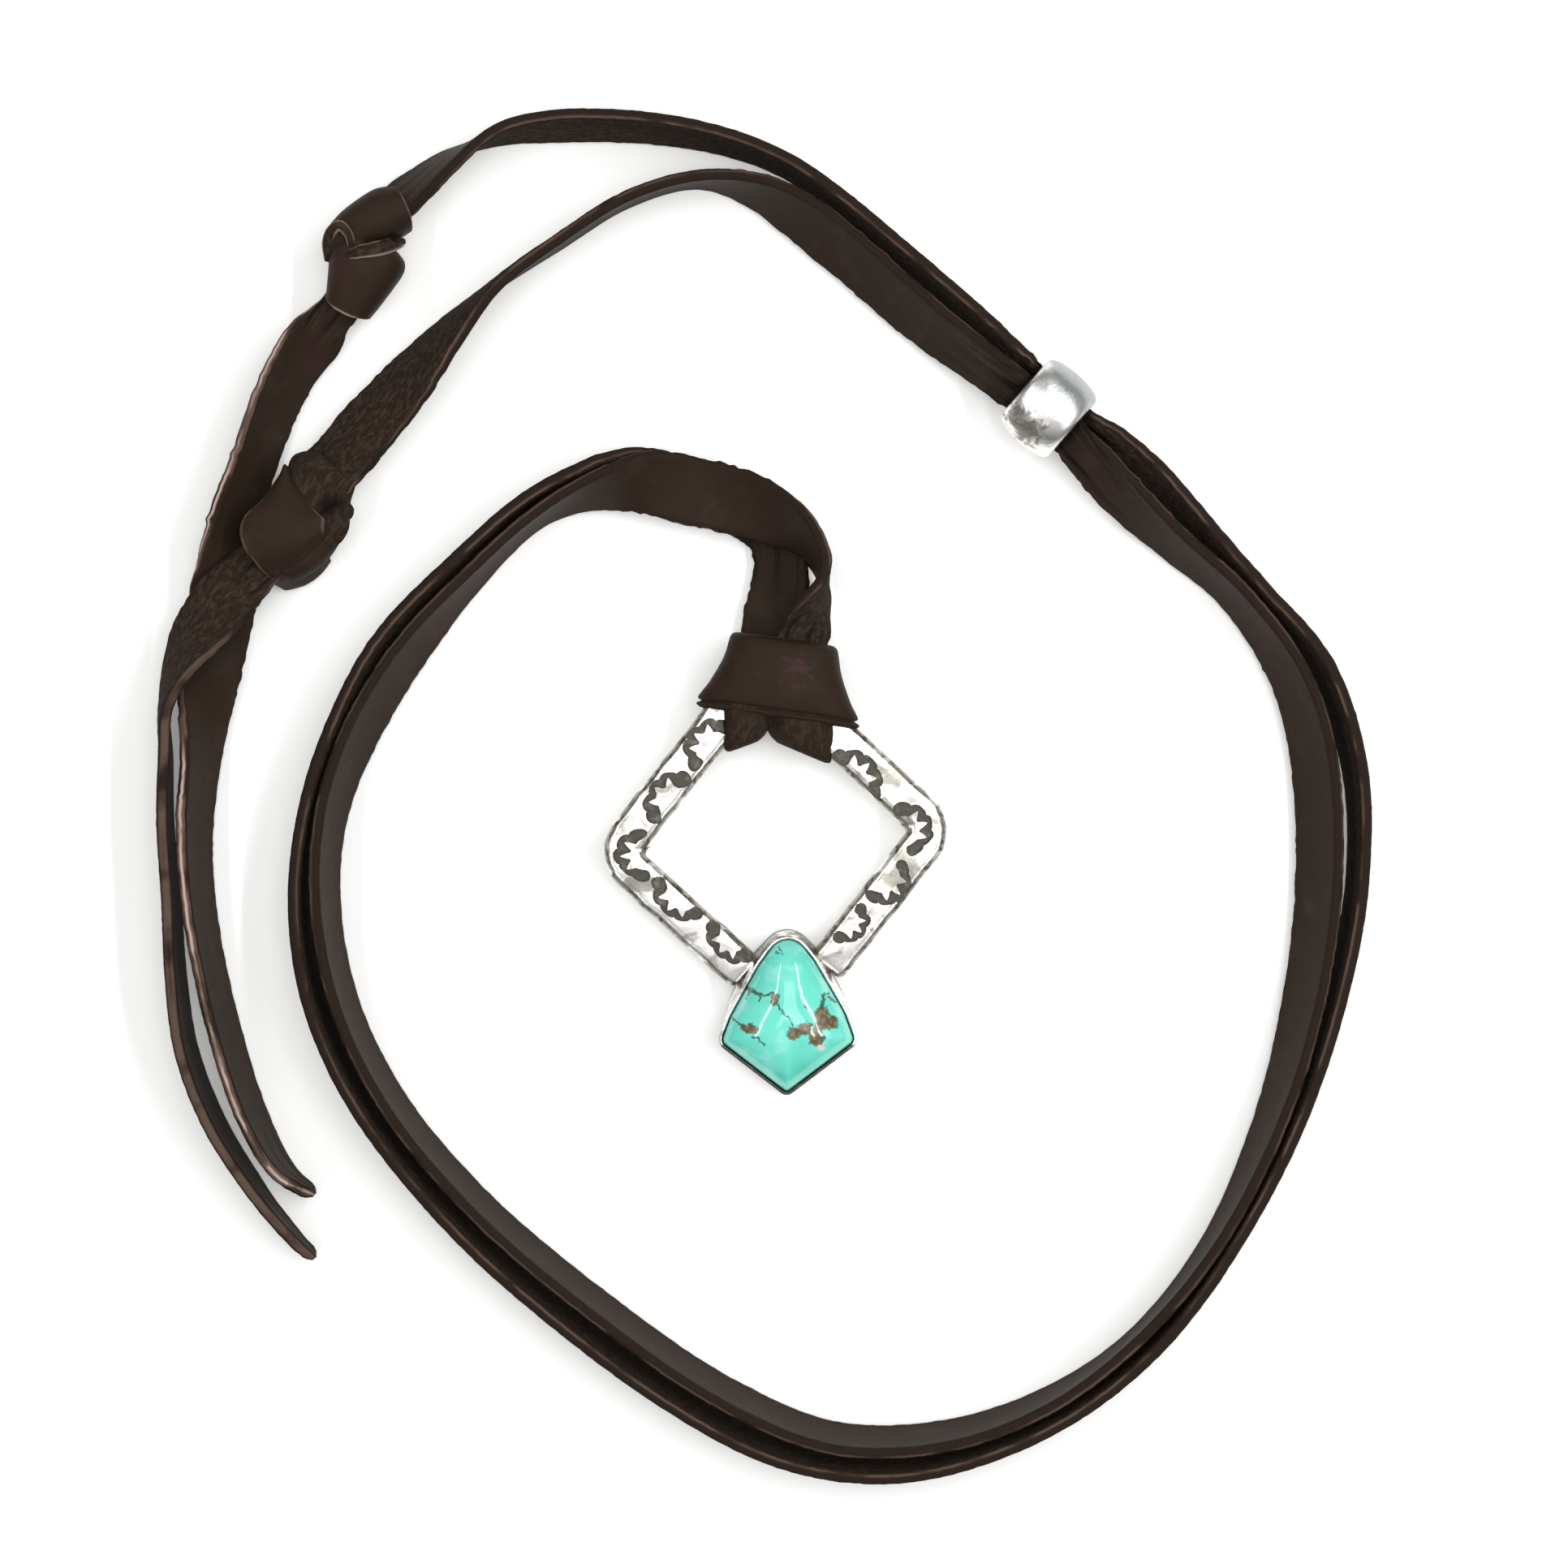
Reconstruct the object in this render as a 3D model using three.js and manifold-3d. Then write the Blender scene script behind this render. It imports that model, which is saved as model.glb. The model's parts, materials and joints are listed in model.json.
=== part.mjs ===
// A turquoise pendant on a doubled flat leather lace, lying on a table.
// Millimetres, +Z up, resting on z = 0. The origin is under the middle of the silver pendant.
import * as THREE from "three";
import { mergeVertices } from "three/addons/utils/BufferGeometryUtils.js";
import Module from "manifold-3d";

const wasm = await Module();
wasm.setup();

// ---------------------------------------------------------------- sizes

const lace = { thick: 1.3, bevel: 0.25 };

const square = {
  halfTall: 20.05,
  halfWide: 18.65,
  turn: 4.8,
  middle: { x: 0, y: 4.5 },
  bar: 4.6,
  thick: 2.6,
  cornerRound: 5,
  innerRound: 0.4,
  endRound: 0.2,
  reach: 20.8,
  edge: 0.3,
};

const bezel = { plate: 0.8, wall: 0.4, high: 4.2 };

const stone = { gap: 0.3, seat: 1.1, girdle: 4.1, middle: { x: 1.4, y: -16.4 } };

const pendantTilt = { degrees: 4.2, pivot: -25.5 };

const bead = { outer: 5.15, bore: 3.4, long: 7.3, rim: 3.75, x: 31.5, y: 54.2, heading: 139 };

const gap = 0.3;

const degree = Math.PI / 180;

// ---------------------------------------------------------------- tables

// Routes of the lace. x and y: middle of the lace in plan. lift: its lowest edge above the table.
// lean: 0 flat, 90 on edge with its outer edge up, 180 flat with the rough side up. wide: across the lace.

// Inner strand: from the front of the hitch, over the arch, round the inside of the loop, to knot B.
const strandB = [
  { x: 3.4, y: 28.2, lift: 4.0, lean: 160, wide: 6 },
  { x: 4.2, y: 30.5, lift: 3.4, lean: 122, wide: 7.6 },
  { x: 5.3, y: 33.5, lift: 2.4, lean: 98, wide: 8 },
  { x: 5.3, y: 36.1, lift: 2.2, lean: 80, wide: 8 },
  { x: 4.0, y: 38.6, lift: 2.4, lean: 70, wide: 8 },
  { x: 1.8, y: 40.6, lift: 2.5, lean: 54, wide: 8 },
  { x: -2.6, y: 42.9, lift: 2.3, lean: 30, wide: 8 },
  { x: -6.3, y: 44.1, lift: 2.2, lean: 17, wide: 8 },
  { x: -10.6, y: 45.1, lift: 2.2, lean: 15, wide: 8 },
  { x: -14.4, y: 45.7, lift: 2.1, lean: 28, wide: 8 },
  { x: -18.2, y: 45.3, lift: 1.2, lean: 54, wide: 8 },
  { x: -23.0, y: 44.1, lift: 0.4, lean: 74, wide: 8 },
  { x: -28.2, y: 41.3, lift: 0.1, lean: 84, wide: 8 },
  { x: -35.2, y: 34.7, lift: 0.1, lean: 80, wide: 8 },
  { x: -42.8, y: 25.7, lift: 0.1, lean: 68, wide: 8 },
  { x: -48.2, y: 16.7, lift: 0.1, lean: 68, wide: 8 },
  { x: -51.4, y: 7.7, lift: 0.1, lean: 74, wide: 8 },
  { x: -52.2, y: -2.3, lift: 0.1, lean: 77, wide: 8 },
  { x: -50.0, y: -14.3, lift: 0.1, lean: 78, wide: 8 },
  { x: -44.0, y: -26.3, lift: 0.1, lean: 78, wide: 8 },
  { x: -34.0, y: -38.1, lift: 0.1, lean: 77, wide: 8 },
  { x: -20.2, y: -49.9, lift: 0.1, lean: 76, wide: 8 },
  { x: -6.0, y: -59.5, lift: 0.1, lean: 76, wide: 8 },
  { x: 7.0, y: -64.7, lift: 0.1, lean: 77, wide: 8 },
  { x: 20.0, y: -64.5, lift: 0.1, lean: 79, wide: 8 },
  { x: 31.4, y: -60.5, lift: 0.1, lean: 84, wide: 8 },
  { x: 41.2, y: -53.7, lift: 0.1, lean: 90, wide: 8 },
  { x: 50.0, y: -43.1, lift: 0.1, lean: 86, wide: 8 },
  { x: 56.6, y: -29.7, lift: 0.1, lean: 76, wide: 8 },
  { x: 60.9, y: -15.9, lift: 0.1, lean: 66, wide: 8 },
  { x: 63.0, y: -0.3, lift: 0.1, lean: 60, wide: 8 },
  { x: 62.4, y: 13.7, lift: 0.1, lean: 60, wide: 8 },
  { x: 59.4, y: 23.9, lift: 0.1, lean: 66, wide: 8 },
  { x: 53.2, y: 32.7, lift: 0.1, lean: 74, wide: 8 },
  { x: 45.9, y: 39.0, lift: 0.4, lean: 70, wide: 8 },
  { x: 40.1, y: 44.2, lift: 1.6, lean: 56, wide: 7.4 },
  { x: 36.0, y: 48.5, lift: 3.2, lean: 44, wide: 6 },
  { x: 33.6, y: 51.3, lift: 3.95, lean: 35, wide: 5 },
  { x: 28.6, y: 55.6, lift: 3.95, lean: 35, wide: 5 },
  { x: 25.0, y: 58.5, lift: 2.4, lean: 56, wide: 6.8 },
  { x: 18.3, y: 63.7, lift: 0.5, lean: 57, wide: 8 },
  { x: 9.7, y: 71.2, lift: 0.1, lean: 54, wide: 8 },
  { x: 3.4, y: 76.3, lift: 0.1, lean: 56, wide: 8 },
  { x: -2.0, y: 79.5, lift: 0.1, lean: 72, wide: 8 },
  { x: -8.8, y: 80.9, lift: 0.1, lean: 90, wide: 8 },
  { x: -17.0, y: 78.7, lift: 0.1, lean: 92, wide: 8 },
  { x: -25.6, y: 73.3, lift: 0.1, lean: 93, wide: 8 },
  { x: -32.4, y: 68.5, lift: 0.1, lean: 99, wide: 8 },
  { x: -37.6, y: 63.3, lift: 0.3, lean: 118, wide: 8 },
  { x: -43.0, y: 56.9, lift: 1.2, lean: 142, wide: 8 },
  { x: -47.4, y: 51.9, lift: 2.0, lean: 156, wide: 7.8 },
  { x: -50.7, y: 48.1, lift: 2.4, lean: 164, wide: 7.2 },
];

// Outer strand: from the back of the hitch, under the arch, round the outside of the loop, to knot A.
const strandA = [
  { x: 0.0, y: 28.5, lift: 0.5, lean: 8, wide: 8 },
  { x: 0.2, y: 30.7, lift: 0.3, lean: 12, wide: 8 },
  { x: 0.5, y: 33.3, lift: 0.1, lean: 20, wide: 7.4 },
  { x: 0.6, y: 36.3, lift: 0.1, lean: 18, wide: 6.6 },
  { x: 0.0, y: 39.5, lift: 0.1, lean: 12, wide: 6.4 },
  { x: -2.4, y: 42.1, lift: 0.1, lean: 10, wide: 6.8 },
  { x: -6.4, y: 43.9, lift: 0.1, lean: 10, wide: 7.4 },
  { x: -11.0, y: 45.1, lift: 0.1, lean: 14, wide: 8 },
  { x: -15.0, y: 46.3, lift: 0.1, lean: 30, wide: 8 },
  { x: -18.7, y: 46.9, lift: 0.1, lean: 58, wide: 8 },
  { x: -23.2, y: 46.2, lift: 0.1, lean: 78, wide: 8 },
  { x: -28.4, y: 43.6, lift: 0.1, lean: 83, wide: 8 },
  { x: -36.3, y: 36.0, lift: 0.1, lean: 73, wide: 8 },
  { x: -44.8, y: 27.1, lift: 0.1, lean: 72, wide: 8 },
  { x: -50.0, y: 18.1, lift: 0.1, lean: 76, wide: 8 },
  { x: -53.6, y: 8.8, lift: 0.1, lean: 84, wide: 8 },
  { x: -55.0, y: -2.3, lift: 0.1, lean: 86, wide: 8 },
  { x: -53.3, y: -14.0, lift: 0.1, lean: 83, wide: 8 },
  { x: -48.1, y: -25.7, lift: 0.1, lean: 81, wide: 8 },
  { x: -38.6, y: -37.9, lift: 0.1, lean: 80, wide: 8 },
  { x: -25.2, y: -50.1, lift: 0.1, lean: 79, wide: 8 },
  { x: -11.3, y: -60.4, lift: 0.1, lean: 79, wide: 8 },
  { x: 1.1, y: -66.5, lift: 0.1, lean: 79, wide: 8 },
  { x: 13.0, y: -68.2, lift: 0.1, lean: 79, wide: 8 },
  { x: 24.5, y: -65.9, lift: 0.1, lean: 80, wide: 8 },
  { x: 35.3, y: -60.5, lift: 0.1, lean: 81, wide: 8 },
  { x: 44.9, y: -52.6, lift: 0.1, lean: 84, wide: 8 },
  { x: 52.8, y: -41.7, lift: 0.1, lean: 84, wide: 8 },
  { x: 59.9, y: -27.9, lift: 0.1, lean: 82, wide: 8 },
  { x: 64.7, y: -13.6, lift: 0.1, lean: 84, wide: 8 },
  { x: 67.3, y: 0.7, lift: 0.1, lean: 86, wide: 8 },
  { x: 66.9, y: 13.6, lift: 0.1, lean: 83, wide: 8 },
  { x: 62.8, y: 24.6, lift: 0.1, lean: 78, wide: 8 },
  { x: 55.6, y: 32.8, lift: 0.1, lean: 74, wide: 8 },
  { x: 49.3, y: 39.7, lift: 0.1, lean: 70, wide: 8 },
  { x: 43.6, y: 46.0, lift: 0.6, lean: 66, wide: 7.8 },
  { x: 38.8, y: 50.0, lift: 1.5, lean: 50, wide: 6 },
  { x: 34.6, y: 52.6, lift: 2.35, lean: 35, wide: 5 },
  { x: 29.6, y: 56.9, lift: 2.35, lean: 35, wide: 5 },
  { x: 26.4, y: 60.7, lift: 1.3, lean: 66, wide: 6.8 },
  { x: 20.6, y: 66.5, lift: 0.3, lean: 76, wide: 8 },
  { x: 14.5, y: 72.2, lift: 0.1, lean: 80, wide: 8 },
  { x: 8.0, y: 77.7, lift: 0.1, lean: 83, wide: 8 },
  { x: 1.4, y: 82.2, lift: 0.1, lean: 84, wide: 8 },
  { x: -6.0, y: 85.1, lift: 0.1, lean: 82, wide: 8 },
  { x: -14.4, y: 86.7, lift: 0.1, lean: 79, wide: 8 },
  { x: -24.6, y: 87.0, lift: 0.1, lean: 78, wide: 8 },
  { x: -31.8, y: 86.1, lift: 0.1, lean: 88, wide: 8 },
  { x: -37.9, y: 82.9, lift: 0.5, lean: 104, wide: 8 },
  { x: -43.5, y: 78.3, lift: 1.4, lean: 114, wide: 6.6 },
];

// The free ends, from their knots to their cut ends.
const tailA = [
  { x: -51.4, y: 65.1, lift: 1.0, lean: 20, wide: 5 },
  { x: -53.6, y: 62.3, lift: 0.3, lean: 44, wide: 7.6 },
  { x: -55.8, y: 59.1, lift: 0.1, lean: 54, wide: 8 },
  { x: -58.0, y: 54.7, lift: 0.1, lean: 58, wide: 8 },
  { x: -60.4, y: 48.1, lift: 0.1, lean: 60, wide: 8 },
  { x: -62.8, y: 41.5, lift: 0.1, lean: 56, wide: 8 },
  { x: -63.4, y: 36.1, lift: 0.1, lean: 30, wide: 8 },
  { x: -64.4, y: 31.3, lift: 0.1, lean: 12, wide: 8 },
  { x: -65.4, y: 26.7, lift: 0.1, lean: 14, wide: 8 },
  { x: -65.8, y: 21.5, lift: 0.1, lean: 44, wide: 8 },
  { x: -66.4, y: 14.7, lift: 0.1, lean: 66, wide: 8 },
  { x: -67.1, y: 6.7, lift: 0.1, lean: 72, wide: 8 },
  { x: -66.9, y: -0.7, lift: 0.1, lean: 75, wide: 8 },
  { x: -65.8, y: -8.9, lift: 0.1, lean: 76, wide: 8 },
  { x: -63.6, y: -18.3, lift: 0.1, lean: 76, wide: 8 },
  { x: -60.4, y: -27.5, lift: 0.1, lean: 78, wide: 8 },
  { x: -57.0, y: -33.7, lift: 0.1, lean: 82, wide: 7 },
  { x: -53.4, y: -36.7, lift: 0.2, lean: 90, wide: 5 },
];

const tailB = [
  { x: -60.3, y: 35.5, lift: 3.6, lean: 168, wide: 6.4 },
  { x: -63.4, y: 32.3, lift: 3.9, lean: 160, wide: 7.8 },
  { x: -66.2, y: 28.7, lift: 3.8, lean: 144, wide: 8 },
  { x: -68.6, y: 24.7, lift: 3.6, lean: 120, wide: 8 },
  { x: -70.4, y: 19.9, lift: 1.6, lean: 102, wide: 8 },
  { x: -70.6, y: 14.3, lift: 0.1, lean: 95, wide: 8 },
  { x: -70.6, y: 6.7, lift: 0.1, lean: 92, wide: 8 },
  { x: -69.9, y: -2.3, lift: 0.1, lean: 90, wide: 8 },
  { x: -69.4, y: -11.3, lift: 0.1, lean: 88, wide: 8 },
  { x: -68.2, y: -19.7, lift: 0.1, lean: 86, wide: 8 },
  { x: -65.0, y: -28.3, lift: 0.1, lean: 86, wide: 8 },
  { x: -60.6, y: -35.5, lift: 0.1, lean: 88, wide: 7.6 },
  { x: -57.4, y: -39.7, lift: 0.1, lean: 90, wide: 6.6 },
  { x: -53.4, y: -44.1, lift: 0.2, lean: 92, wide: 5 },
];

// Sections of the knots, square to their heading. wide and high: across. full: 0 oval, 1 boxy.
const knotA = [
  { x: -43.9, y: 78, z: 4.7, heading: 215, wide: 4.8, high: 6.4, full: 0.2 },
  { x: -45.0, y: 77.2, z: 4.5, heading: 226, wide: 8.0, high: 8.2, full: 0.3 },
  { x: -46.4, y: 75.5, z: 4.4, heading: 240, wide: 9.4, high: 8.5, full: 0.35 },
  { x: -47.2, y: 73.1, z: 4.3, heading: 250, wide: 9.2, high: 8.3, full: 0.35 },
  { x: -47.6, y: 71.6, z: 4.1, heading: 255, wide: 8.4, high: 7.6, full: 0.3 },
  { x: -48.1, y: 68.9, z: 4.0, heading: 254, wide: 8.2, high: 7.5, full: 0.3 },
  { x: -49.0, y: 66.7, z: 3.8, heading: 248, wide: 7.0, high: 6.8, full: 0.25 },
  { x: -49.7, y: 65.5, z: 3.5, heading: 244, wide: 5.2, high: 5.0, full: 0.2 },
];

const knotB = [
  { x: -51.0, y: 47.6, z: 3.6, heading: 226, wide: 7.0, high: 4.6, full: 0.2 },
  { x: -51.8, y: 46.5, z: 3.8, heading: 228, wide: 9.4, high: 6.8, full: 0.3 },
  { x: -53.6, y: 43.9, z: 4.1, heading: 230, wide: 11.4, high: 7.9, full: 0.2 },
  { x: -55.4, y: 41.3, z: 4.3, heading: 232, wide: 11.6, high: 8.2, full: 0.2 },
  { x: -57.2, y: 38.9, z: 4.3, heading: 234, wide: 10.2, high: 7.8, full: 0.3 },
  { x: -58.8, y: 36.9, z: 4.5, heading: 234, wide: 8.0, high: 6.6, full: 0.3 },
  { x: -59.8, y: 35.9, z: 4.6, heading: 232, wide: 6.6, high: 4.4, full: 0.2 },
];

// Sections of the hitch from its top edge down: the band across the front, then its two legs.
const hitchBand = [
  { x: 1.0, y: 27.6, z: 4.2, heading: 262, wide: 11.6, high: 6.2, full: 0.45 },
  { x: 1.0, y: 27.0, z: 4.5, heading: 262, wide: 12.6, high: 8.2, full: 0.5 },
  { x: 0.8, y: 24.5, z: 4.6, heading: 262, wide: 13.8, high: 9.0, full: 0.5 },
  { x: 0.5, y: 21.6, z: 4.5, heading: 262, wide: 16.4, high: 8.8, full: 0.45 },
  { x: 0.3, y: 19.6, z: 4.3, heading: 262, wide: 18.8, high: 8.2, full: 0.4 },
  { x: 0.3, y: 18.6, z: 4.2, heading: 262, wide: 18.4, high: 7.0, full: 0.3 },
];

const hitchLegs = [
  [
    { x: -3.4, y: 20.7, z: 4.1, heading: 270, wide: 5.2, high: 7.8, full: 0.6 },
    { x: -3.4, y: 17.2, z: 3.9, heading: 280, wide: 5.0, high: 7.2, full: 0.7 },
    { x: -3.6, y: 15.8, z: 3.8, heading: 288, wide: 4.4, high: 5.8, full: 0.5 },
  ],
  [
    { x: 3.0, y: 20.7, z: 4.1, heading: 266, wide: 7.6, high: 7.8, full: 0.6 },
    { x: 3.0, y: 17.0, z: 3.9, heading: 254, wide: 7.8, high: 7.2, full: 0.7 },
    { x: 2.9, y: 15.1, z: 3.7, heading: 247, wide: 7.4, high: 5.6, full: 0.5 },
  ],
];

// The kite of the setting: the corners of the cup's foot, of its rim, and their rounding.
const kite = [
  { footX: 1.35, footY: -4.6, rimX: 1.35, rimY: -4.4, round: 3 },
  { footX: -2.9, footY: -9.0, rimX: -2.3, rimY: -9.5, round: 6 },
  { footX: -5.0, footY: -13.0, rimX: -5.6, rimY: -15.5, round: 8 },
  { footX: -6.4, footY: -18.9, rimX: -6.8, rimY: -18.7, round: 1.3 },
  { footX: 1.3, footY: -25.2, rimX: 1.3, rimY: -25.0, round: 1 },
  { footX: 9.5, footY: -18.9, rimX: 9.7, rimY: -18.6, round: 1.3 },
  { footX: 7.7, footY: -13.0, rimX: 8.35, rimY: -14.9, round: 8 },
  { footX: 5.5, footY: -8.8, rimX: 4.85, rimY: -8.9, round: 6 },
];

// The stone's dome: reach is the share of its outline, z its height over the pendant's back.
const dome = [
  { reach: 1, z: stone.girdle },
  { reach: 0.965, z: 4.9 },
  { reach: 0.88, z: 5.8 },
  { reach: 0.74, z: 6.6 },
  { reach: 0.54, z: 7.2 },
  { reach: 0.3, z: 7.55 },
];

// Stamped crescents: middle in plan, and the way that their scalloped back faces.
const stamps = [
  { x: -8.4, y: 16.3, turn: 142, long: 1.02, deep: 1 },
  { x: -13.0, y: 10.1, turn: 142, long: 1.02, deep: 1 },
  { x: -16.6, y: 2.9, turn: 184, long: 1, deep: 1.05 },
  { x: -11.8, y: -2.7, turn: 230, long: 1.06, deep: 0.85 },
  { x: -5.8, y: -7.6, turn: 228, long: 0.98, deep: 0.85 },
  { x: 10.0, y: 12.8, turn: 44, long: 1.1, deep: 0.95 },
  { x: 16.3, y: 6.3, turn: 18, long: 0.95, deep: 1.1 },
  { x: 13.6, y: -0.8, turn: 314, long: 0.95, deep: 1 },
  { x: 9.2, y: -5.4, turn: 322, long: 0.8, deep: 0.8 },
];

const crescent = {
  chord: 6.7,
  back: 3.45,
  bandEnd: 0.9,
  bandBack: 1.25,
  lobes: 5,
  lobeLow: 0.89,
  lobeRise: 0.13,
  teeth: 4,
  tooth: 0.72,
  deep: 0.5,
};

// How finely curves are divided.
const steps = { corner: 4, kite: 5, beadProfile: 8, beadRound: 32, knot: 16, hitch: 20, lobe: 3 };

// ---------------------------------------------------------------- solids from meshes

function solidOf(geometry) {
  const bare = geometry.clone();
  bare.deleteAttribute("normal");
  bare.deleteAttribute("uv");
  const merged = mergeVertices(bare, 1e-4);
  return new wasm.Manifold(
    new wasm.Mesh({
      numProp: 3,
      vertProperties: merged.attributes.position.array,
      triVerts: new Uint32Array(merged.index.array),
    }),
  );
}

function geometryOf(solid) {
  const mesh = solid.getMesh();
  const geometry = new THREE.BufferGeometry();
  geometry.setAttribute("position", new THREE.BufferAttribute(mesh.vertProperties, 3));
  geometry.setIndex(new THREE.BufferAttribute(mesh.triVerts, 1));
  geometry.computeVertexNormals();
  return geometry;
}

// A closed skin over rings of points that all have the same count and turn the same way.
function skin(rings) {
  const count = rings[0].length;
  const points = rings.flat();
  const index = [];
  for (let ring = 0; ring + 1 < rings.length; ring++) {
    for (let i = 0; i < count; i++) {
      const next = (i + 1) % count;
      const a = ring * count + i;
      const b = ring * count + next;
      index.push(a, b, b + count, a, b + count, a + count);
    }
  }
  cap(points, index, 0, count, true);
  cap(points, index, (rings.length - 1) * count, count, false);
  const geometry = new THREE.BufferGeometry().setFromPoints(points);
  geometry.setIndex(index);
  return geometry;
}

function cap(points, index, first, count, atStart) {
  const middle = new THREE.Vector3();
  for (let i = 0; i < count; i++) {
    middle.add(points[first + i]);
  }
  points.push(middle.divideScalar(count));
  for (let i = 0; i < count; i++) {
    const a = first + i;
    const b = first + ((i + 1) % count);
    if (atStart) index.push(points.length - 1, b, a);
    else index.push(points.length - 1, a, b);
  }
}

// ---------------------------------------------------------------- leather lace

// Half of the height that a lace of this lean and width takes up.
function halfHeight(lean, wide) {
  const up = Math.abs(Math.sin(lean * degree)) * wide;
  const flat = Math.abs(Math.cos(lean * degree)) * lace.thick;
  return (up + flat) / 2;
}

function laceSection(wide, room) {
  const w = wide / 2 + room;
  const t = lace.thick / 2 + room;
  const b = lace.bevel;
  return [
    [w, -t + b],
    [w, t - b],
    [w - b, t],
    [-w + b, t],
    [-w, t - b],
    [-w, -t + b],
    [-w + b, -t],
    [w - b, -t],
  ];
}

// room thickens the lace on every side, for cutting a neighbour clear of it.
function laceGeometry(rows, room = 0) {
  const route = new THREE.CatmullRomCurve3(
    rows.map((row) => new THREE.Vector3(row.x, row.y, row.lift + halfHeight(row.lean, row.wide))),
    false,
    "centripetal",
  );
  const last = rows.length - 1;
  const rings = rows.map((row, i) => {
    const lean = row.lean * degree;
    const middle = route.points[i];
    const along = route.getTangent(i / last);
    const inward = new THREE.Vector3(-along.y, along.x, 0).normalize();
    const up = new THREE.Vector3().crossVectors(along, inward);
    const across = inward.clone().multiplyScalar(Math.cos(lean)).addScaledVector(up, -Math.sin(lean));
    const normal = inward.clone().multiplyScalar(Math.sin(lean)).addScaledVector(up, Math.cos(lean));
    return laceSection(row.wide, room).map(([w, t]) =>
      middle.clone().addScaledVector(across, w).addScaledVector(normal, t),
    );
  });
  return skin(rings);
}

// ---------------------------------------------------------------- knots

function knotGeometry(rows, sides) {
  const rings = rows.map((row) => {
    const heading = row.heading * degree;
    const across = new THREE.Vector3(-Math.sin(heading), Math.cos(heading), 0);
    const power = THREE.MathUtils.lerp(1, 0.5, row.full);
    return Array.from({ length: sides }, (_, i) => {
      const angle = (2 * Math.PI * (i + 0.5)) / sides;
      const c = Math.cos(angle);
      const s = Math.sin(angle);
      const w = (row.wide / 2) * Math.sign(c) * Math.abs(c) ** power;
      const h = (row.high / 2) * Math.sign(s) * Math.abs(s) ** power;
      return new THREE.Vector3(row.x, row.y, row.z + h).addScaledVector(across, w);
    });
  });
  return skin(rings);
}

// ---------------------------------------------------------------- outlines in plan

// Corner points become arcs; inset moves every side inwards. Corners run anticlockwise.
function roundedOutline(corners, inset, arcSteps) {
  const count = corners.length;
  const points = [];
  const moved = corners.map((corner, i) => {
    const before = corners[(i + count - 1) % count];
    const after = corners[(i + 1) % count];
    const a = new THREE.Vector2(corner.x - before.x, corner.y - before.y).normalize();
    const b = new THREE.Vector2(after.x - corner.x, after.y - corner.y).normalize();
    const leftA = new THREE.Vector2(-a.y, a.x);
    const leftB = new THREE.Vector2(-b.y, b.x);
    const bisector = leftA.clone().add(leftB).normalize();
    const reach = inset / bisector.dot(leftA);
    return { x: corner.x + bisector.x * reach, y: corner.y + bisector.y * reach, a, b };
  });
  moved.forEach((corner, i) => {
    const turn = Math.asin(corner.a.x * corner.b.y - corner.a.y * corner.b.x);
    const angle = corner.a.dot(corner.b) < 0 ? Math.sign(turn) * Math.PI - turn : turn;
    const round = Math.max(corners[i].round - Math.sign(angle) * inset, 0.05);
    const tangent = round * Math.tan(Math.abs(angle) / 2);
    const startX = corner.x - corner.a.x * tangent;
    const startY = corner.y - corner.a.y * tangent;
    for (let step = 0; step <= arcSteps; step++) {
      const swept = (angle * step) / arcSteps;
      const side = Math.sign(angle) * round;
      const heading = Math.atan2(corner.a.y, corner.a.x) + swept;
      const first = heading - swept;
      points.push(
        new THREE.Vector2(
          startX + side * (Math.sin(heading) - Math.sin(first)),
          startY - side * (Math.cos(heading) - Math.cos(first)),
        ),
      );
    }
  });
  return points;
}

function level(outline, z) {
  return outline.map((p) => new THREE.Vector3(p.x, p.y, z));
}

// ---------------------------------------------------------------- silver

function squareCorner(name, offset) {
  const inradius = (square.halfTall * square.halfWide) / Math.hypot(square.halfTall, square.halfWide);
  const scale = 1 + offset / inradius;
  const places = { right: [1, 0], top: [0, 1], left: [-1, 0], foot: [0, -1] };
  const [sideways, upward] = places[name];
  const turn = square.turn * degree;
  const x = sideways * square.halfWide * scale;
  const y = upward * square.halfTall * scale;
  return {
    x: square.middle.x + x * Math.cos(turn) - y * Math.sin(turn),
    y: square.middle.y + x * Math.sin(turn) + y * Math.cos(turn),
  };
}

// The end of a lower bar: a point on its side line, a given way from its upper corner.
function barEnd(name, offset) {
  const from = squareCorner(name, offset);
  const to = squareCorner("foot", offset);
  const long = Math.hypot(to.x - from.x, to.y - from.y);
  const share = (square.reach + offset) / long;
  return {
    x: from.x + (to.x - from.x) * share,
    y: from.y + (to.y - from.y) * share,
    round: square.endRound,
  };
}

function openSquare() {
  const out = square.bar / 2 - square.edge;
  const outer = { round: square.cornerRound };
  const inner = { round: square.innerRound };
  const corners = [
    barEnd("right", out),
    { ...squareCorner("right", out), ...outer },
    { ...squareCorner("top", out), ...outer },
    { ...squareCorner("left", out), ...outer },
    barEnd("left", out),
    barEnd("left", -out),
    { ...squareCorner("left", -out), ...inner },
    { ...squareCorner("top", -out), ...inner },
    { ...squareCorner("right", -out), ...inner },
    barEnd("right", -out),
  ];
  const geometry = new THREE.ExtrudeGeometry(new THREE.Shape(roundedOutline(corners, 0, steps.corner)), {
    depth: square.thick - 2 * square.edge,
    bevelThickness: square.edge,
    bevelSize: square.edge,
    bevelSegments: 1,
  });
  geometry.translate(0, 0, square.edge);
  return solidOf(geometry);
}

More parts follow.
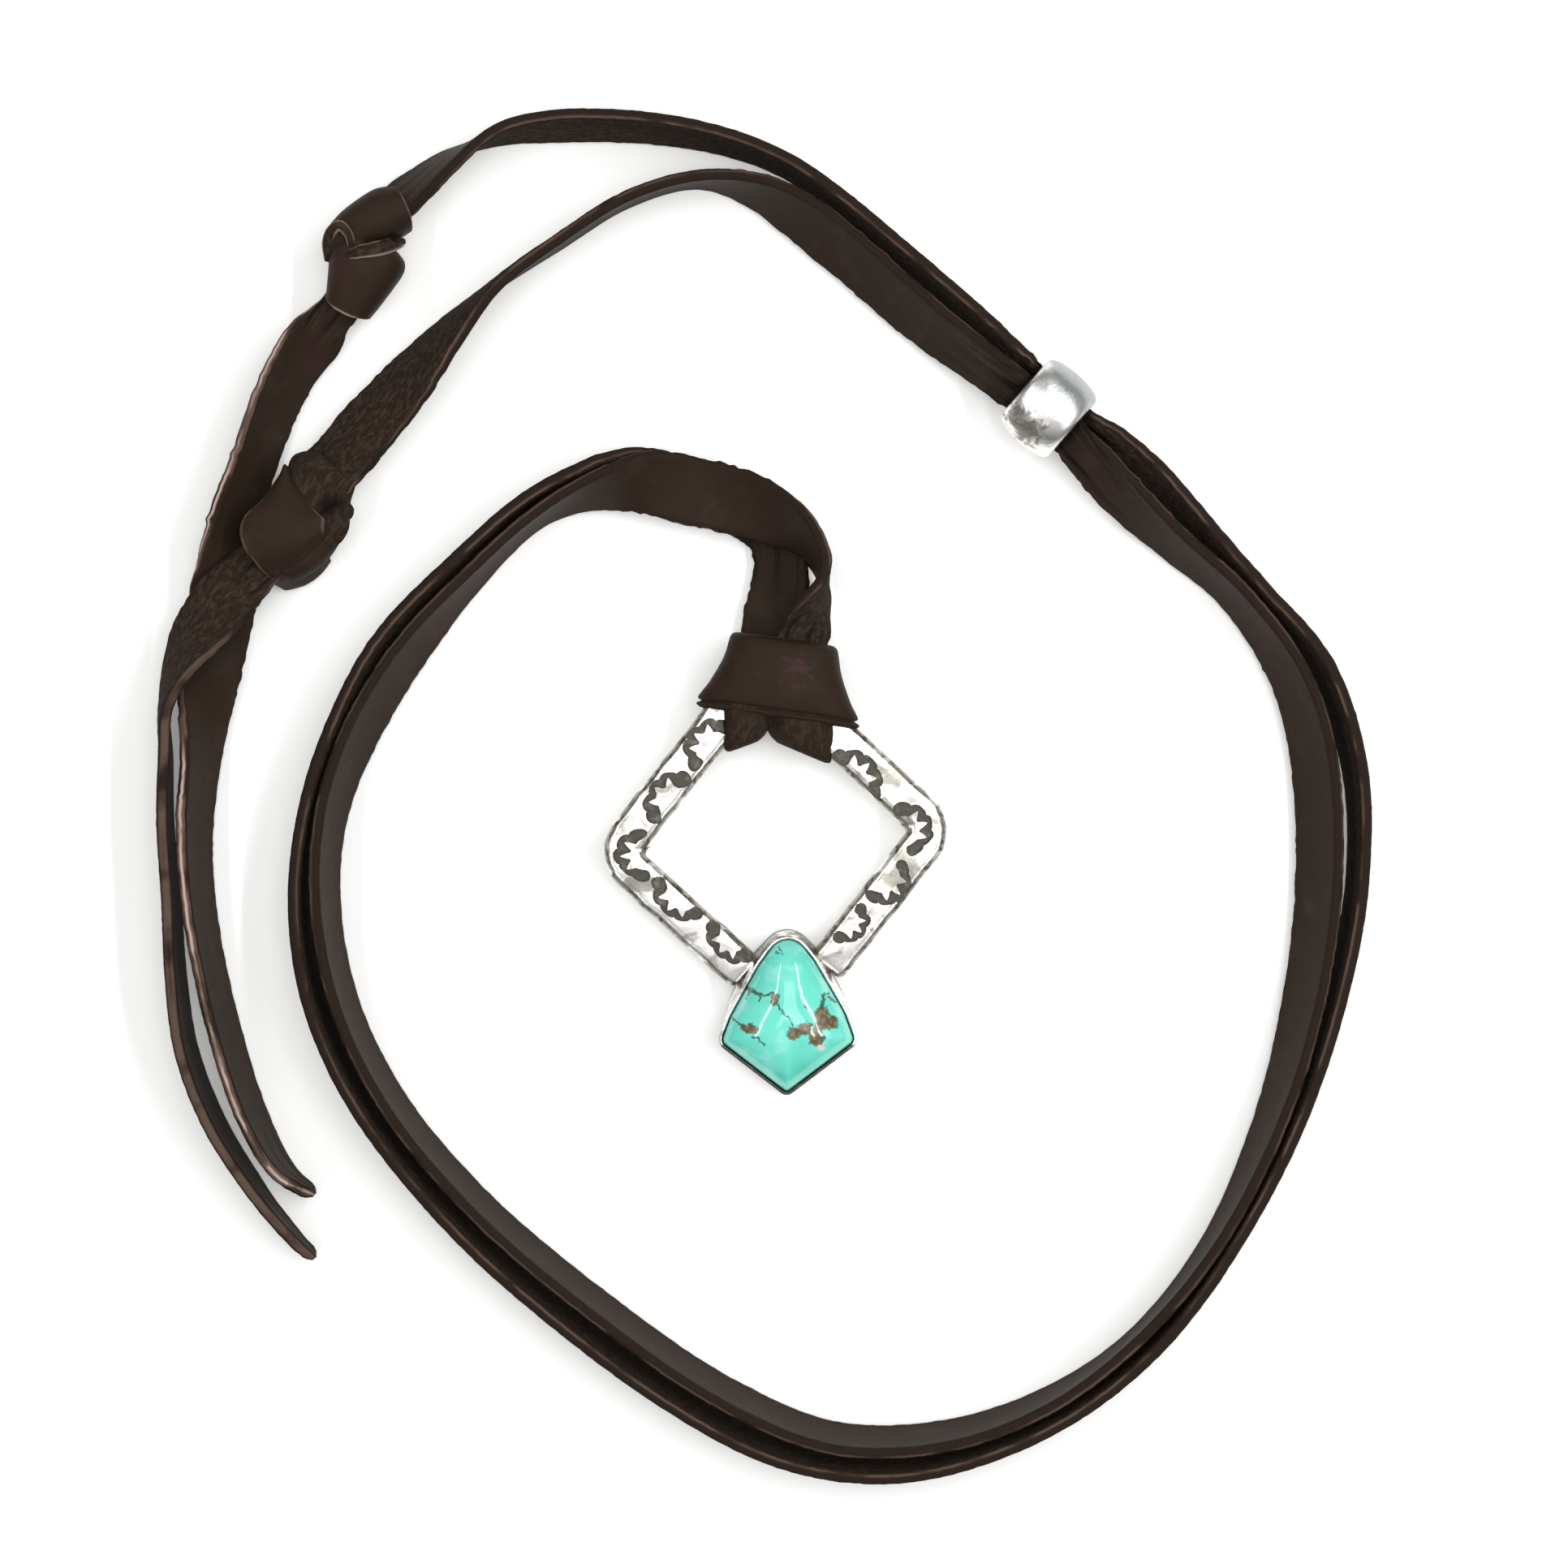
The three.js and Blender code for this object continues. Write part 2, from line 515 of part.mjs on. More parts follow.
// A crescent with a scalloped back and a saw-toothed front, its back towards +X.
function crescentShape(row) {
  const points = [];
  const half = crescent.chord / 2;
  const backSteps = crescent.lobes * steps.lobe;
  for (let i = 0; i <= backSteps; i++) {
    const angle = Math.PI * (i / backSteps - 0.5);
    const lobe = crescent.lobeLow + crescent.lobeRise * Math.abs(Math.sin((Math.PI * i) / steps.lobe));
    points.push(new THREE.Vector2(crescent.back * Math.cos(angle) * lobe, half * Math.sin(angle) * lobe));
  }
  const frontSteps = crescent.teeth * 2;
  for (let i = 0; i <= frontSteps; i++) {
    const angle = Math.PI * (0.5 - i / frontSteps);
    const band = THREE.MathUtils.lerp(crescent.bandEnd, crescent.bandBack, Math.cos(angle));
    const tooth = i % 2 === 1 ? crescent.tooth : 0;
    const reach = crescent.back * crescent.lobeLow - band + tooth;
    const side = half * crescent.lobeLow - band;
    points.push(new THREE.Vector2(reach * Math.cos(angle), side * Math.sin(angle)));
  }
  const middle = crescent.back / 2;
  return new THREE.Shape(points.map((p) => new THREE.Vector2((p.x - middle) * row.deep, p.y * row.long)));
}

function stampCut(row) {
  const geometry = new THREE.ExtrudeGeometry(crescentShape(row), {
    depth: crescent.deep + 1,
    bevelEnabled: false,
  });
  geometry.rotateZ(row.turn * degree);
  geometry.translate(row.x, row.y, square.thick - crescent.deep);
  return solidOf(geometry);
}

// The cup's outline at a height, moved in by an inset.
function cupOutline(z, inset) {
  const share = z / bezel.high;
  const corners = kite.map((row) => ({
    x: THREE.MathUtils.lerp(row.footX, row.rimX, share),
    y: THREE.MathUtils.lerp(row.footY, row.rimY, share),
    round: row.round,
  }));
  return level(roundedOutline(corners, inset, steps.kite), z);
}

function setting() {
  return solidOf(skin([cupOutline(0, 0), cupOutline(bezel.high, 0)]));
}

function settingHollow() {
  const top = bezel.high + gap;
  return solidOf(skin([cupOutline(bezel.plate, bezel.wall), cupOutline(top, bezel.wall)]));
}

function silverFrame() {
  let solid = openSquare();
  for (const row of stamps) {
    solid = solid.subtract(stampCut(row));
  }
  return geometryOf(solid.add(setting()).subtract(settingHollow()));
}

// ---------------------------------------------------------------- stone

function stoneGeometry() {
  const inset = bezel.wall + stone.gap;
  const girdle = cupOutline(stone.girdle, inset);
  const middle = stone.middle;
  const rings = [cupOutline(stone.seat, inset)];
  for (const row of dome) {
    rings.push(
      girdle.map((p) => {
        const x = middle.x + (p.x - middle.x) * row.reach;
        const y = middle.y + (p.y - middle.y) * row.reach;
        return new THREE.Vector3(x, y, row.z);
      }),
    );
  }
  return skin(rings);
}

// ---------------------------------------------------------------- slide bead

function beadGeometry() {
  const half = bead.long / 2;
  const profile = [new THREE.Vector2(bead.bore, half), new THREE.Vector2(bead.bore, -half)];
  for (let i = 0; i <= steps.beadProfile; i++) {
    const angle = Math.PI * (i / steps.beadProfile - 0.5);
    profile.push(
      new THREE.Vector2(bead.rim + (bead.outer - bead.rim) * Math.cos(angle), half * Math.sin(angle)),
    );
  }
  profile.push(profile[0].clone());
  const geometry = new THREE.LatheGeometry(profile, steps.beadRound);
  geometry.rotateZ(-Math.PI / 2);
  return geometry;
}

// ---------------------------------------------------------------- hitch

// The bars with room round them, so that the leather clears the silver.
function barRoom() {
  const out = square.bar / 2 + gap;
  const names = ["right", "top", "left", "foot"];
  const around = names.map((name) => ({ ...squareCorner(name, out), round: square.cornerRound }));
  const inside = names.map((name) => ({ ...squareCorner(name, -out), round: square.innerRound }));
  const outside = skin([
    level(roundedOutline(around, 0, steps.corner), -gap),
    level(roundedOutline(around, 0, steps.corner), square.thick + gap),
  ]);
  const middle = skin([
    level(roundedOutline(inside, 0, steps.corner), -2 * gap),
    level(roundedOutline(inside, 0, steps.corner), square.thick + 2 * gap),
  ]);
  return solidOf(tilted(outside)).subtract(solidOf(tilted(middle)));
}

// Pendant geometry is built flat and then tipped up about its foot, where it touches the table.
function tilted(geometry) {
  geometry.translate(0, -pendantTilt.pivot, 0);
  geometry.rotateX(pendantTilt.degrees * degree);
  geometry.translate(0, pendantTilt.pivot, 0);
  return geometry;
}

function hitchGeometry() {
  let solid = solidOf(knotGeometry(hitchBand, steps.hitch));
  for (const rows of hitchLegs) {
    solid = solid.add(solidOf(knotGeometry(rows, steps.knot)));
  }
  return geometryOf(solid.subtract(barRoom()));
}

// ---------------------------------------------------------------- materials and the group

const leather = new THREE.MeshStandardMaterial({ color: 0x3a2e2a, roughness: 0.62, metalness: 0 });
const silver = new THREE.MeshStandardMaterial({ color: 0xc9c8c3, roughness: 0.24, metalness: 1 });
const turquoise = new THREE.MeshStandardMaterial({ color: 0x64e4cd, roughness: 0.16, metalness: 0 });

function piece(name, geometry, material) {
  const mesh = new THREE.Mesh(geometry, material.clone());
  mesh.name = name;
  return mesh;
}

// A piece pressed against a lace, shaved where it would run into it.
function clearOf(geometry, rows) {
  return geometryOf(solidOf(geometry).subtract(solidOf(laceGeometry(rows, gap))));
}

const slideBead = piece("slide_bead", beadGeometry(), silver);
slideBead.rotation.z = bead.heading * degree;
slideBead.position.set(bead.x, bead.y, bead.outer);

const model = new THREE.Group();
model.add(
  piece("silver_frame", tilted(silverFrame()), silver),
  piece("turquoise_stone", tilted(stoneGeometry()), turquoise),
  slideBead,
  piece("lace_hitch", hitchGeometry(), leather),
  piece("strand_a", laceGeometry(strandA), leather),
  piece("strand_b", clearOf(laceGeometry(strandB), strandA), leather),
  piece("knot_a", knotGeometry(knotA, steps.knot), leather),
  piece("knot_b", clearOf(knotGeometry(knotB, steps.knot), tailA), leather),
  piece("tail_a", laceGeometry(tailA), leather),
  piece("tail_b", clearOf(laceGeometry(tailB), tailA), leather),
);

export default model;
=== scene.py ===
import json
import math
from functools import reduce

import bpy
from mathutils import Matrix, Vector, noise
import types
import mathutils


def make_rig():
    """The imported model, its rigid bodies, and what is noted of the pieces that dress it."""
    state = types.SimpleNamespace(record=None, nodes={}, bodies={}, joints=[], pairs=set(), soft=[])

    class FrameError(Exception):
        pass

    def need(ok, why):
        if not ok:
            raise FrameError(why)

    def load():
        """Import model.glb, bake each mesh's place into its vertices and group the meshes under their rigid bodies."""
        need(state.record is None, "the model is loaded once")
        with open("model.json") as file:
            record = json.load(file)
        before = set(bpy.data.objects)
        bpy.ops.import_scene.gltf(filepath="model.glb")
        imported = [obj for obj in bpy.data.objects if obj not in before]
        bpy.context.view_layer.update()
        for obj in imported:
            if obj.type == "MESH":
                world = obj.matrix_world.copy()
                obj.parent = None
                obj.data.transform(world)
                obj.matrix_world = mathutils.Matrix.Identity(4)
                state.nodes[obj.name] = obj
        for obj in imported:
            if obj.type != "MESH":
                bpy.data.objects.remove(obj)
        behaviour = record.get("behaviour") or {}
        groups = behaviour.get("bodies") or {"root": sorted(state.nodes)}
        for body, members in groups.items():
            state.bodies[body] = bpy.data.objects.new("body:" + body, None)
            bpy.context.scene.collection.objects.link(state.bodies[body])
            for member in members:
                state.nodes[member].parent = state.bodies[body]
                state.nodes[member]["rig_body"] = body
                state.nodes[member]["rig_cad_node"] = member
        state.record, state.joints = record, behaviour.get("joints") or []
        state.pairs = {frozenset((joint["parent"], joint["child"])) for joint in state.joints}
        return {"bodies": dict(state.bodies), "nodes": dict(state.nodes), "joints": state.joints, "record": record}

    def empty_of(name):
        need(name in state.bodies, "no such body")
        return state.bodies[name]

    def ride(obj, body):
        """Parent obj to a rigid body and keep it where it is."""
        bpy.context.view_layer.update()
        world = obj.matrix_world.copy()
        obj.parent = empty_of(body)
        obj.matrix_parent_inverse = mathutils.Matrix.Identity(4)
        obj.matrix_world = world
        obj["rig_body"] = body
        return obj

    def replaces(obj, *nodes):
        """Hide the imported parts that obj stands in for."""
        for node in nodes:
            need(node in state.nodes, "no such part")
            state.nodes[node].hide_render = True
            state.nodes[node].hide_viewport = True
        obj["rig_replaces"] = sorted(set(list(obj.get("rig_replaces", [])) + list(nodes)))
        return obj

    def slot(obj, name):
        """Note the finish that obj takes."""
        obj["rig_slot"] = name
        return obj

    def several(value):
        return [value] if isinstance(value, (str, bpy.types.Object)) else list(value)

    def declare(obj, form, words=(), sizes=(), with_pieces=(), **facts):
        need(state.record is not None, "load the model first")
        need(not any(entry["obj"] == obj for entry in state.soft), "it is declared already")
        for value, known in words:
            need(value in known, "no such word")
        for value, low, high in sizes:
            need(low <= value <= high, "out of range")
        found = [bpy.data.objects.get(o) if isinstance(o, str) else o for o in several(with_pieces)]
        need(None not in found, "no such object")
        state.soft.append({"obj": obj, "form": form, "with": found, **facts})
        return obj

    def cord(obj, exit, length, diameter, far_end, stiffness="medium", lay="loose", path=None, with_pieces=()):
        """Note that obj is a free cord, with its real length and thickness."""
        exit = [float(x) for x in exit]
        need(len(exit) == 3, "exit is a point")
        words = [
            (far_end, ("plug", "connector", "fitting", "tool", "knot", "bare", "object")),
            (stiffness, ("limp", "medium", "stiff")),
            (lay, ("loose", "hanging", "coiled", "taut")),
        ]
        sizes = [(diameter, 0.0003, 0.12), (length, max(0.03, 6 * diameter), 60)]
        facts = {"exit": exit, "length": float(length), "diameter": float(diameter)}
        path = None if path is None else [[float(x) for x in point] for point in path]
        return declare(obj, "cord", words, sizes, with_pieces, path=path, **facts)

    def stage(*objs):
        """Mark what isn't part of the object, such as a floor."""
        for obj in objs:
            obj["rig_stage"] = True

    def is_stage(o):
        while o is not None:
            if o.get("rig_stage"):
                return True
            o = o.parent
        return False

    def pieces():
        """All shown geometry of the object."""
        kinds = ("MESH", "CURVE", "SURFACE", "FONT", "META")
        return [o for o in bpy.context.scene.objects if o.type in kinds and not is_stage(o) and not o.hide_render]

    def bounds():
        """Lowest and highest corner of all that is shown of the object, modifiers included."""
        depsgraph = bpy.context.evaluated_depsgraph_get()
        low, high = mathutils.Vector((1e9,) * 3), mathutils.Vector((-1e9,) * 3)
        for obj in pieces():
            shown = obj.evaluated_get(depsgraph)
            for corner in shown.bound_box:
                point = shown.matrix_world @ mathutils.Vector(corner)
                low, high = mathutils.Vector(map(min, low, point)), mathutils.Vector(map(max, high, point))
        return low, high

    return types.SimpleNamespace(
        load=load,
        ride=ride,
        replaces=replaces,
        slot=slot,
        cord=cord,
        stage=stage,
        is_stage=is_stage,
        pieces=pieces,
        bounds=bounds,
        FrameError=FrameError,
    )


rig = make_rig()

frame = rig.load()
cadLow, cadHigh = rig.bounds()
bpy.ops.object.select_all(action="DESELECT")
mm = 0.001
# heights and points that are this close are the same
sameHeight = 0.001 * mm
samePoint = 0.01 * mm
print("frame loaded")

# straight above the table; the view is this wide across at the height of the plane
camera = {
    "x": 0.001,
    "y": 0.0109,
    "height": 0.5,
    "plane": 0.003,
    "across": 0.1816,
    "sensor": 36.0,
    "clip": (0.01, 20),
}


def makeCamera():
    bpy.ops.object.camera_add(location=(camera["x"], camera["y"], camera["height"]), rotation=(0, 0, 0))
    made = bpy.context.object
    made.name = "tableCamera"
    made.data.sensor_width = camera["sensor"]
    made.data.lens = camera["sensor"] * (camera["height"] - camera["plane"]) / camera["across"]
    made.data.clip_start, made.data.clip_end = camera["clip"]
    bpy.context.scene.camera = made


makeCamera()
print("camera placed")


# a socket that can be added, multiplied and so on
class Wire:
    def __init__(self, finish, socket):
        self.finish = finish
        self.socket = socket

    def maths(self, operation, *others, clamp=False):
        values = dict(enumerate([self, *others]))
        return self.finish.add("ShaderNodeMath", {"operation": operation, "use_clamp": clamp}, values)

    def swapped(self, operation, other):
        return self.finish.add("ShaderNodeMath", {"operation": operation}, {0: other, 1: self})

    def __add__(self, other):
        return self.maths("ADD", other)

    def __sub__(self, other):
        return self.maths("SUBTRACT", other)

    def __mul__(self, other):
        return self.maths("MULTIPLY", other)

    def __truediv__(self, other):
        return self.maths("DIVIDE", other)

    def __rsub__(self, other):
        return self.swapped("SUBTRACT", other)

    def __rtruediv__(self, other):
        return self.swapped("DIVIDE", other)

    __radd__ = __add__
    __rmul__ = __mul__

    def clamped(self):
        return self.maths("MULTIPLY", 1.0, clamp=True)

    # 0 below low, 1 above high, smooth between; the other way round if low is above high
    def rise(self, low, high):
        return self.finish.add(
            "ShaderNodeMapRange",
            {"interpolation_type": "SMOOTHSTEP"},
            {"Value": self, "From Min": low, "From Max": high, "To Min": 0.0, "To Max": 1.0},
        )


# one material, or the room's light, while it is wired; noise is spread about 0.5, and the plain numbers
# after it say how much of it shows
class Finish:
    def __init__(self, name, holder=None):
        self.holder = holder or bpy.data.materials.new(name)
        self.holder.use_nodes = True
        self.tree = self.holder.node_tree
        self.tree.nodes.clear()

    def add(self, kind, settings=None, sockets=None, out=0):
        made = self.tree.nodes.new(kind)
        for key, value in (settings or {}).items():
            setattr(made, key, value)
        for key, value in (sockets or {}).items():
            if isinstance(value, Wire):
                self.tree.links.new(value.socket, made.inputs[key])
            else:
                made.inputs[key].default_value = value
        return None if out is None else Wire(self, made.outputs[out])

    def place(self):
        return self.add("ShaderNodeTexCoord", out="Object")

    def attribute(self, name, out="Fac"):
        return self.add("ShaderNodeAttribute", {"attribute_name": name}, out=out)

    def vectorMath(self, operation, first, second, out=0):
        return self.add("ShaderNodeVectorMath", {"operation": operation}, {0: first, 1: second}, out)

    def stretched(self, vector, scale, turn=0.0):
        sockets = {"Vector": vector, "Scale": scale, "Rotation": (0, 0, turn)}
        return self.add("ShaderNodeMapping", None, sockets)

    # size is the real size of a blotch, in metres
    def cloud(self, vector, size, detail, rough, distort=0.0, out=0):
        sockets = {"Vector": vector, "Scale": 1 / size, "Detail": detail, "Roughness": rough}
        return self.add("ShaderNodeTexNoise", None, {**sockets, "Distortion": distort}, out)

    # 1 at a spot given in millimetres, falling to 0 at the reach
    def near(self, vector, spot, reach):
        middle = tuple(value * mm for value in spot)
        return 1.0 - self.vectorMath("DISTANCE", vector, middle, "Value") / (reach * mm)

    def blend(self, share, first, second):
        return self.add("ShaderNodeMix", {"data_type": "RGBA"}, {0: share, 6: first, 7: second}, out=2)

    # the height is in metres
    def bump(self, height, strength=1.0):
        sockets = {"Height": height, "Distance": 1.0, "Strength": strength}
        return self.add("ShaderNodeBump", None, sockets)

    def metal(self, base, rough, height, metallic=1.0, strength=1.0):
        normal = self.bump(height, strength)
        return self.surface(Base_Color=base, Metallic=metallic, Roughness=rough, Normal=normal)

    def surface(self, **sockets):
        named = {key.replace("_", " "): value for key, value in sockets.items()}
        shader = self.add("ShaderNodeBsdfPrincipled", None, named)
        self.add("ShaderNodeOutputMaterial", None, {"Surface": shader}, out=None)
        return self.holder


def colour(red, green, blue):
    return (red, green, blue, 1.0)


# the slide bead's middle in plan, in millimetres, and its heading; shade is painted on the lace at its mouths
beadAt = {"x": 31.5, "y": 54.2, "heading": 139}

leatherLook = {
    "grain": colour(0.0285, 0.0175, 0.0118),
    "grainWorn": colour(0.043, 0.029, 0.021),
    "grainRed": colour(0.043, 0.018, 0.017),
    "scuffed": colour(0.06, 0.029, 0.029),
    "flesh": colour(0.024, 0.0155, 0.011),
    "fleshPale": colour(0.056, 0.04, 0.03),
    "rim": colour(0.026, 0.0165, 0.0125),
    "frayed": colour(0.17, 0.112, 0.086),
    # painted highlight on the middle of a raw edge, over its paler fibre
    "raw": colour(0.62, 0.45, 0.4),
    # the colour of the painted shade in creases, deep folds and at the bead's mouths
    "creaseShade": colour(0.006, 0.004, 0.0035),
    "pore": 0.35 * mm,
    "fibre": 0.5 * mm,
    "streak": 0.7 * mm,
    "wrinkle": 1.5 * mm,
    "blotch": 5 * mm,
    "patch": 7 * mm,
    "redPatch": 9 * mm,
    "reliefGrain": 0.03 * mm,
    "reliefFlesh": 0.16 * mm,
    "reliefFold": 1.3 * mm,
    # how much of the painted shade shows
    "shadeShare": 0.9,
    # the scuff on the hitch: x, y, z and reach, in millimetres
    "scuffAt": (2.8, 24.2, 8.6, 3.0),
    # the shade at the bead: its height and reach, in millimetres, and where it fades along the bead
    "mouthMiddle": 5.2,
    "mouthReach": 7.5,
    "mouthEnds": (3.7 * mm, 4.9 * mm),
    # x, y, z and reach of the painted shade in the deep folds, in millimetres
    "shadedHollows": [
        (-51.2, 42.6, 6.5, 2.3),
        (-57.5, 46.0, 4.0, 2.2),
        (-46.6, 72.9, 8.4, 1.0),
        (-45.2, 73.1, 8.0, 1.0),
        (-43.8, 73.6, 7.0, 1.0),
        (0.0, 17.6, 8.0, 1.8),
    ],
}


# flesh, rim, squeeze, laceMap and the edge value come with the mesh; the edge value carries fraying and a painted
# highlight
def leatherFinish():
    look = leatherLook
    f = Finish("oiledLeather")
    flesh, rim, frayAndShine, squeeze = (f.attribute(name) for name in ("flesh", "rim", "frayAndShine", "squeeze"))
    along = f.attribute("laceMap", out="Vector")
    place = f.place()
    blotch = f.cloud(place, look["blotch"], 4.0, 0.6)
    pores = f.cloud(place, look["pore"], 2.0, 0.6)
    fibres = f.cloud(f.stretched(along, (0.45, 1.0, 1.0)), look["fibre"], 4.0, 0.7, 0.6)
    streaks = f.cloud(f.stretched(along, (0.06, 1.0, 1.0)), look["streak"], 3.0, 0.6)
    folds = f.cloud(f.stretched(along, (0.07, 1.0, 1.0)), look["wrinkle"], 2.0, 0.5, 0.3)
    # the two faces
    worn = blotch.rise(0.5, 0.72) * 0.7
    red = f.cloud(place, look["redPatch"], 2.0, 0.5).rise(0.6, 0.72) * 0.5
    grain = f.blend(red, f.blend(worn, look["grain"], look["grainWorn"]), look["grainRed"])
    rough = f.blend(fibres.rise(0.42, 0.68), look["flesh"], look["fleshPale"])
    face = f.blend(flesh.rise(0.35, 0.65), grain, rough)
    # the raw edges, with threads of paler fibre; an edge value above 1 is a bright, nearly whole line of paler fibre
    # with a painted highlight
    patchy = f.cloud(place, look["patch"], 2.0, 0.5).rise(0.38, 0.52)
    thread = streaks.rise(0.3, 0.52)
    highlightLine = frayAndShine.rise(1.1, 1.9)
    weak = frayAndShine.rise(0.15, 0.7) * thread * patchy * 0.6
    pale = weak.maths("MAXIMUM", highlightLine * (0.3 + thread * 0.6))
    shineLines = f.blend(highlightLine * streaks.rise(0.42, 0.52), look["frayed"], look["raw"])
    edge = f.blend(pale, f.blend(rim.rise(0.4, 0.9), face, look["rim"]), shineLines)
    *spot, reach = look["scuffAt"]
    scuff = f.near(place, spot, reach) + (streaks - 0.5) * 2.2 + (fibres - 0.5) * 3.0
    edge = f.blend(scuff.rise(0.35, 0.9) * 0.7, edge, look["scuffed"])
    # painted shade in the creases where the lace is pinched, in the deep folds and at the mouths of the bead
    pinched = (squeeze * 3.2).clamped()
    deep = folds.rise(0.5, 0.38) * pinched
    for *spot, reach in look["shadedHollows"]:
        deep = deep.maths("MAXIMUM", f.near(place, spot, reach).rise(0.0, 0.75) * look["shadeShare"])
    middle = (beadAt["x"], beadAt["y"], look["mouthMiddle"])
    heading = math.radians(beadAt["heading"])
    fromBead = f.vectorMath("SUBTRACT", place, Vector(middle) * mm)
    off = f.vectorMath("DOT_PRODUCT", fromBead, (math.cos(heading), math.sin(heading), 0), "Value")
    mouth = 1.0 - off.maths("ABSOLUTE").rise(*look["mouthEnds"])
    shade = mouth * f.near(place, middle, look["mouthReach"]).rise(0.0, 0.15)
    deep = deep.maths("MAXIMUM", shade * look["shadeShare"])
    base = f.blend(deep, edge, look["creaseShade"])
    height = pores * (1.0 - flesh) * look["reliefGrain"] + fibres * (flesh + rim) * look["reliefFlesh"]
    height = height + folds * pinched * look["reliefFold"]
    shine = 0.5 + 0.35 * (flesh + rim).clamped() + 0.12 * blotch
    return f.surface(Base_Color=base, Roughness=shine, Normal=f.bump(height), Specular_IOR_Level=0.08)


silverLook = {
    "bright": colour(0.93, 0.915, 0.89),
    # painted reflection: the grey patches in the bright silver
    "greyReflection": colour(0.35, 0.33, 0.28),
    # painted shade on the sides; the darker one also draws the dark lines on the bright silver
    "edge": colour(0.42, 0.4, 0.34),
    "edgeDark": colour(0.11, 0.098, 0.078),
    # oxide in the stamping, also painted as shade on the setting and in the bead's bore
    "oxideAndShade": colour(0.075, 0.07, 0.058),
    "oxidePale": colour(0.2, 0.19, 0.165),
    "blueGrey": colour(0.36, 0.39, 0.4),
    "brown": colour(0.16, 0.125, 0.085),
    "wave": 4 * mm,
    # size of the patches of painted reflection, which also vary the roughness
    "reflectionPatch": 3 * mm,
    "scratch": 0.35 * mm,
    "dirt": 1.4 * mm,
    "edgeDirt": 1.3 * mm,
    # size of the patches of painted highlight on the sides
    "sideHighlight": 2.6 * mm,
    "wornDirt": 1.8 * mm,
    "wornFine": 0.5 * mm,
    "oxideDirt": 1.1 * mm,
    # x, y, z and reach of the bead's brown and its blue-grey side, in millimetres
    "brownAt": (28.6, 51.5, 8.4, 3.5),
    "greyAt": (35.0, 57.6, 7.0, 6.0),
}


def silverFinish():
    look = silverLook
    f = Finish("hammeredSilver")
    place = f.place()
    wave = f.cloud(place, look["wave"], 1.0, 0.4)
    reflectionPatch = f.cloud(place, look["reflectionPatch"], 2.0, 0.5, 0.8)
    dirt = f.cloud(place, look["dirt"], 4.0, 0.6, 0.4)
    scratch = f.cloud(f.stretched(place, (1.0, 0.12, 1.0), turn=0.7), look["scratch"], 3.0, 0.6)
    # painted reflection: grey patches in the bright silver
    reflectedTone = f.blend(reflectionPatch.rise(0.5, 0.64) * 0.85, look["bright"], look["greyReflection"])
    line = dirt.rise(0.49, 0.51) - dirt.rise(0.51, 0.53)
    base = f.blend(line * reflectionPatch.rise(0.42, 0.52) * 0.5, reflectedTone, look["edgeDark"])
    rough = 0.16 + reflectionPatch * 0.12 + scratch * 0.1
    return f.metal(base, rough, wave * (0.3 * mm) + scratch * (0.005 * mm))


# painted shade on the rounded sides: a grey brown with darker streaks and patches of painted highlight
def sideShadeFinish():
    look = silverLook
    f = Finish("paintedSideShade")
    place = f.place()
    dirt = f.cloud(place, look["edgeDirt"], 4.0, 0.6, 0.6)
    base = f.blend(dirt.rise(0.42, 0.62), look["edge"], look["edgeDark"])
    base = f.blend(f.cloud(place, look["sideHighlight"], 2.0, 0.5).rise(0.56, 0.66), base, look["bright"])
    return f.metal(base, 0.32 + dirt * 0.2, dirt * (0.15 * mm))


# the bead is satin with wear, blue-grey towards one side and brown towards the other
def wornSilverFinish():
    look = silverLook
    f = Finish("wornSilver")
    place = f.place()
    dirt = f.cloud(place, look["wornDirt"], 5.0, 0.7, 0.5)
    fine = f.cloud(place, look["wornFine"], 4.0, 0.7)
    *brownSpot, brownReach = look["brownAt"]
    *greySpot, greyReach = look["greyAt"]
    brown = (f.near(place, brownSpot, brownReach) + (dirt - 0.5) * 3.2).rise(0.12, 0.6)
    grey = (f.near(place, greySpot, greyReach) + (dirt - 0.5) * 1.2).rise(0.05, 0.45)
    pits = (fine * 0.6 + dirt * 0.4).rise(0.56, 0.66) * 0.6
    base = f.blend(grey * 0.8, look["bright"], look["blueGrey"])
    base = f.blend(brown * (0.55 + fine * 0.4), base, look["brown"])
    base = f.blend(pits, base, look["oxidePale"])
    rough = 0.33 + brown * 0.2 + grey * 0.08 + pits * 0.2
    return f.metal(base, rough, dirt * (0.12 * mm) + fine * (0.03 * mm), strength=0.7)


# the oxide in the stamping and under the stone; the same dark is also painted shade in the bead's bore and on the
# setting's lower rim, foot and inward walls
def oxideAndShadeFinish():
    look = silverLook
    f = Finish("oxideAndPaintedShade")
    dirt = f.cloud(f.place(), look["oxideDirt"], 4.0, 0.6)
    base = f.blend(dirt.rise(0.5, 0.75) * 0.7, look["oxideAndShade"], look["oxidePale"])
    return f.metal(base, 0.42, dirt * (0.1 * mm), metallic=0.75)


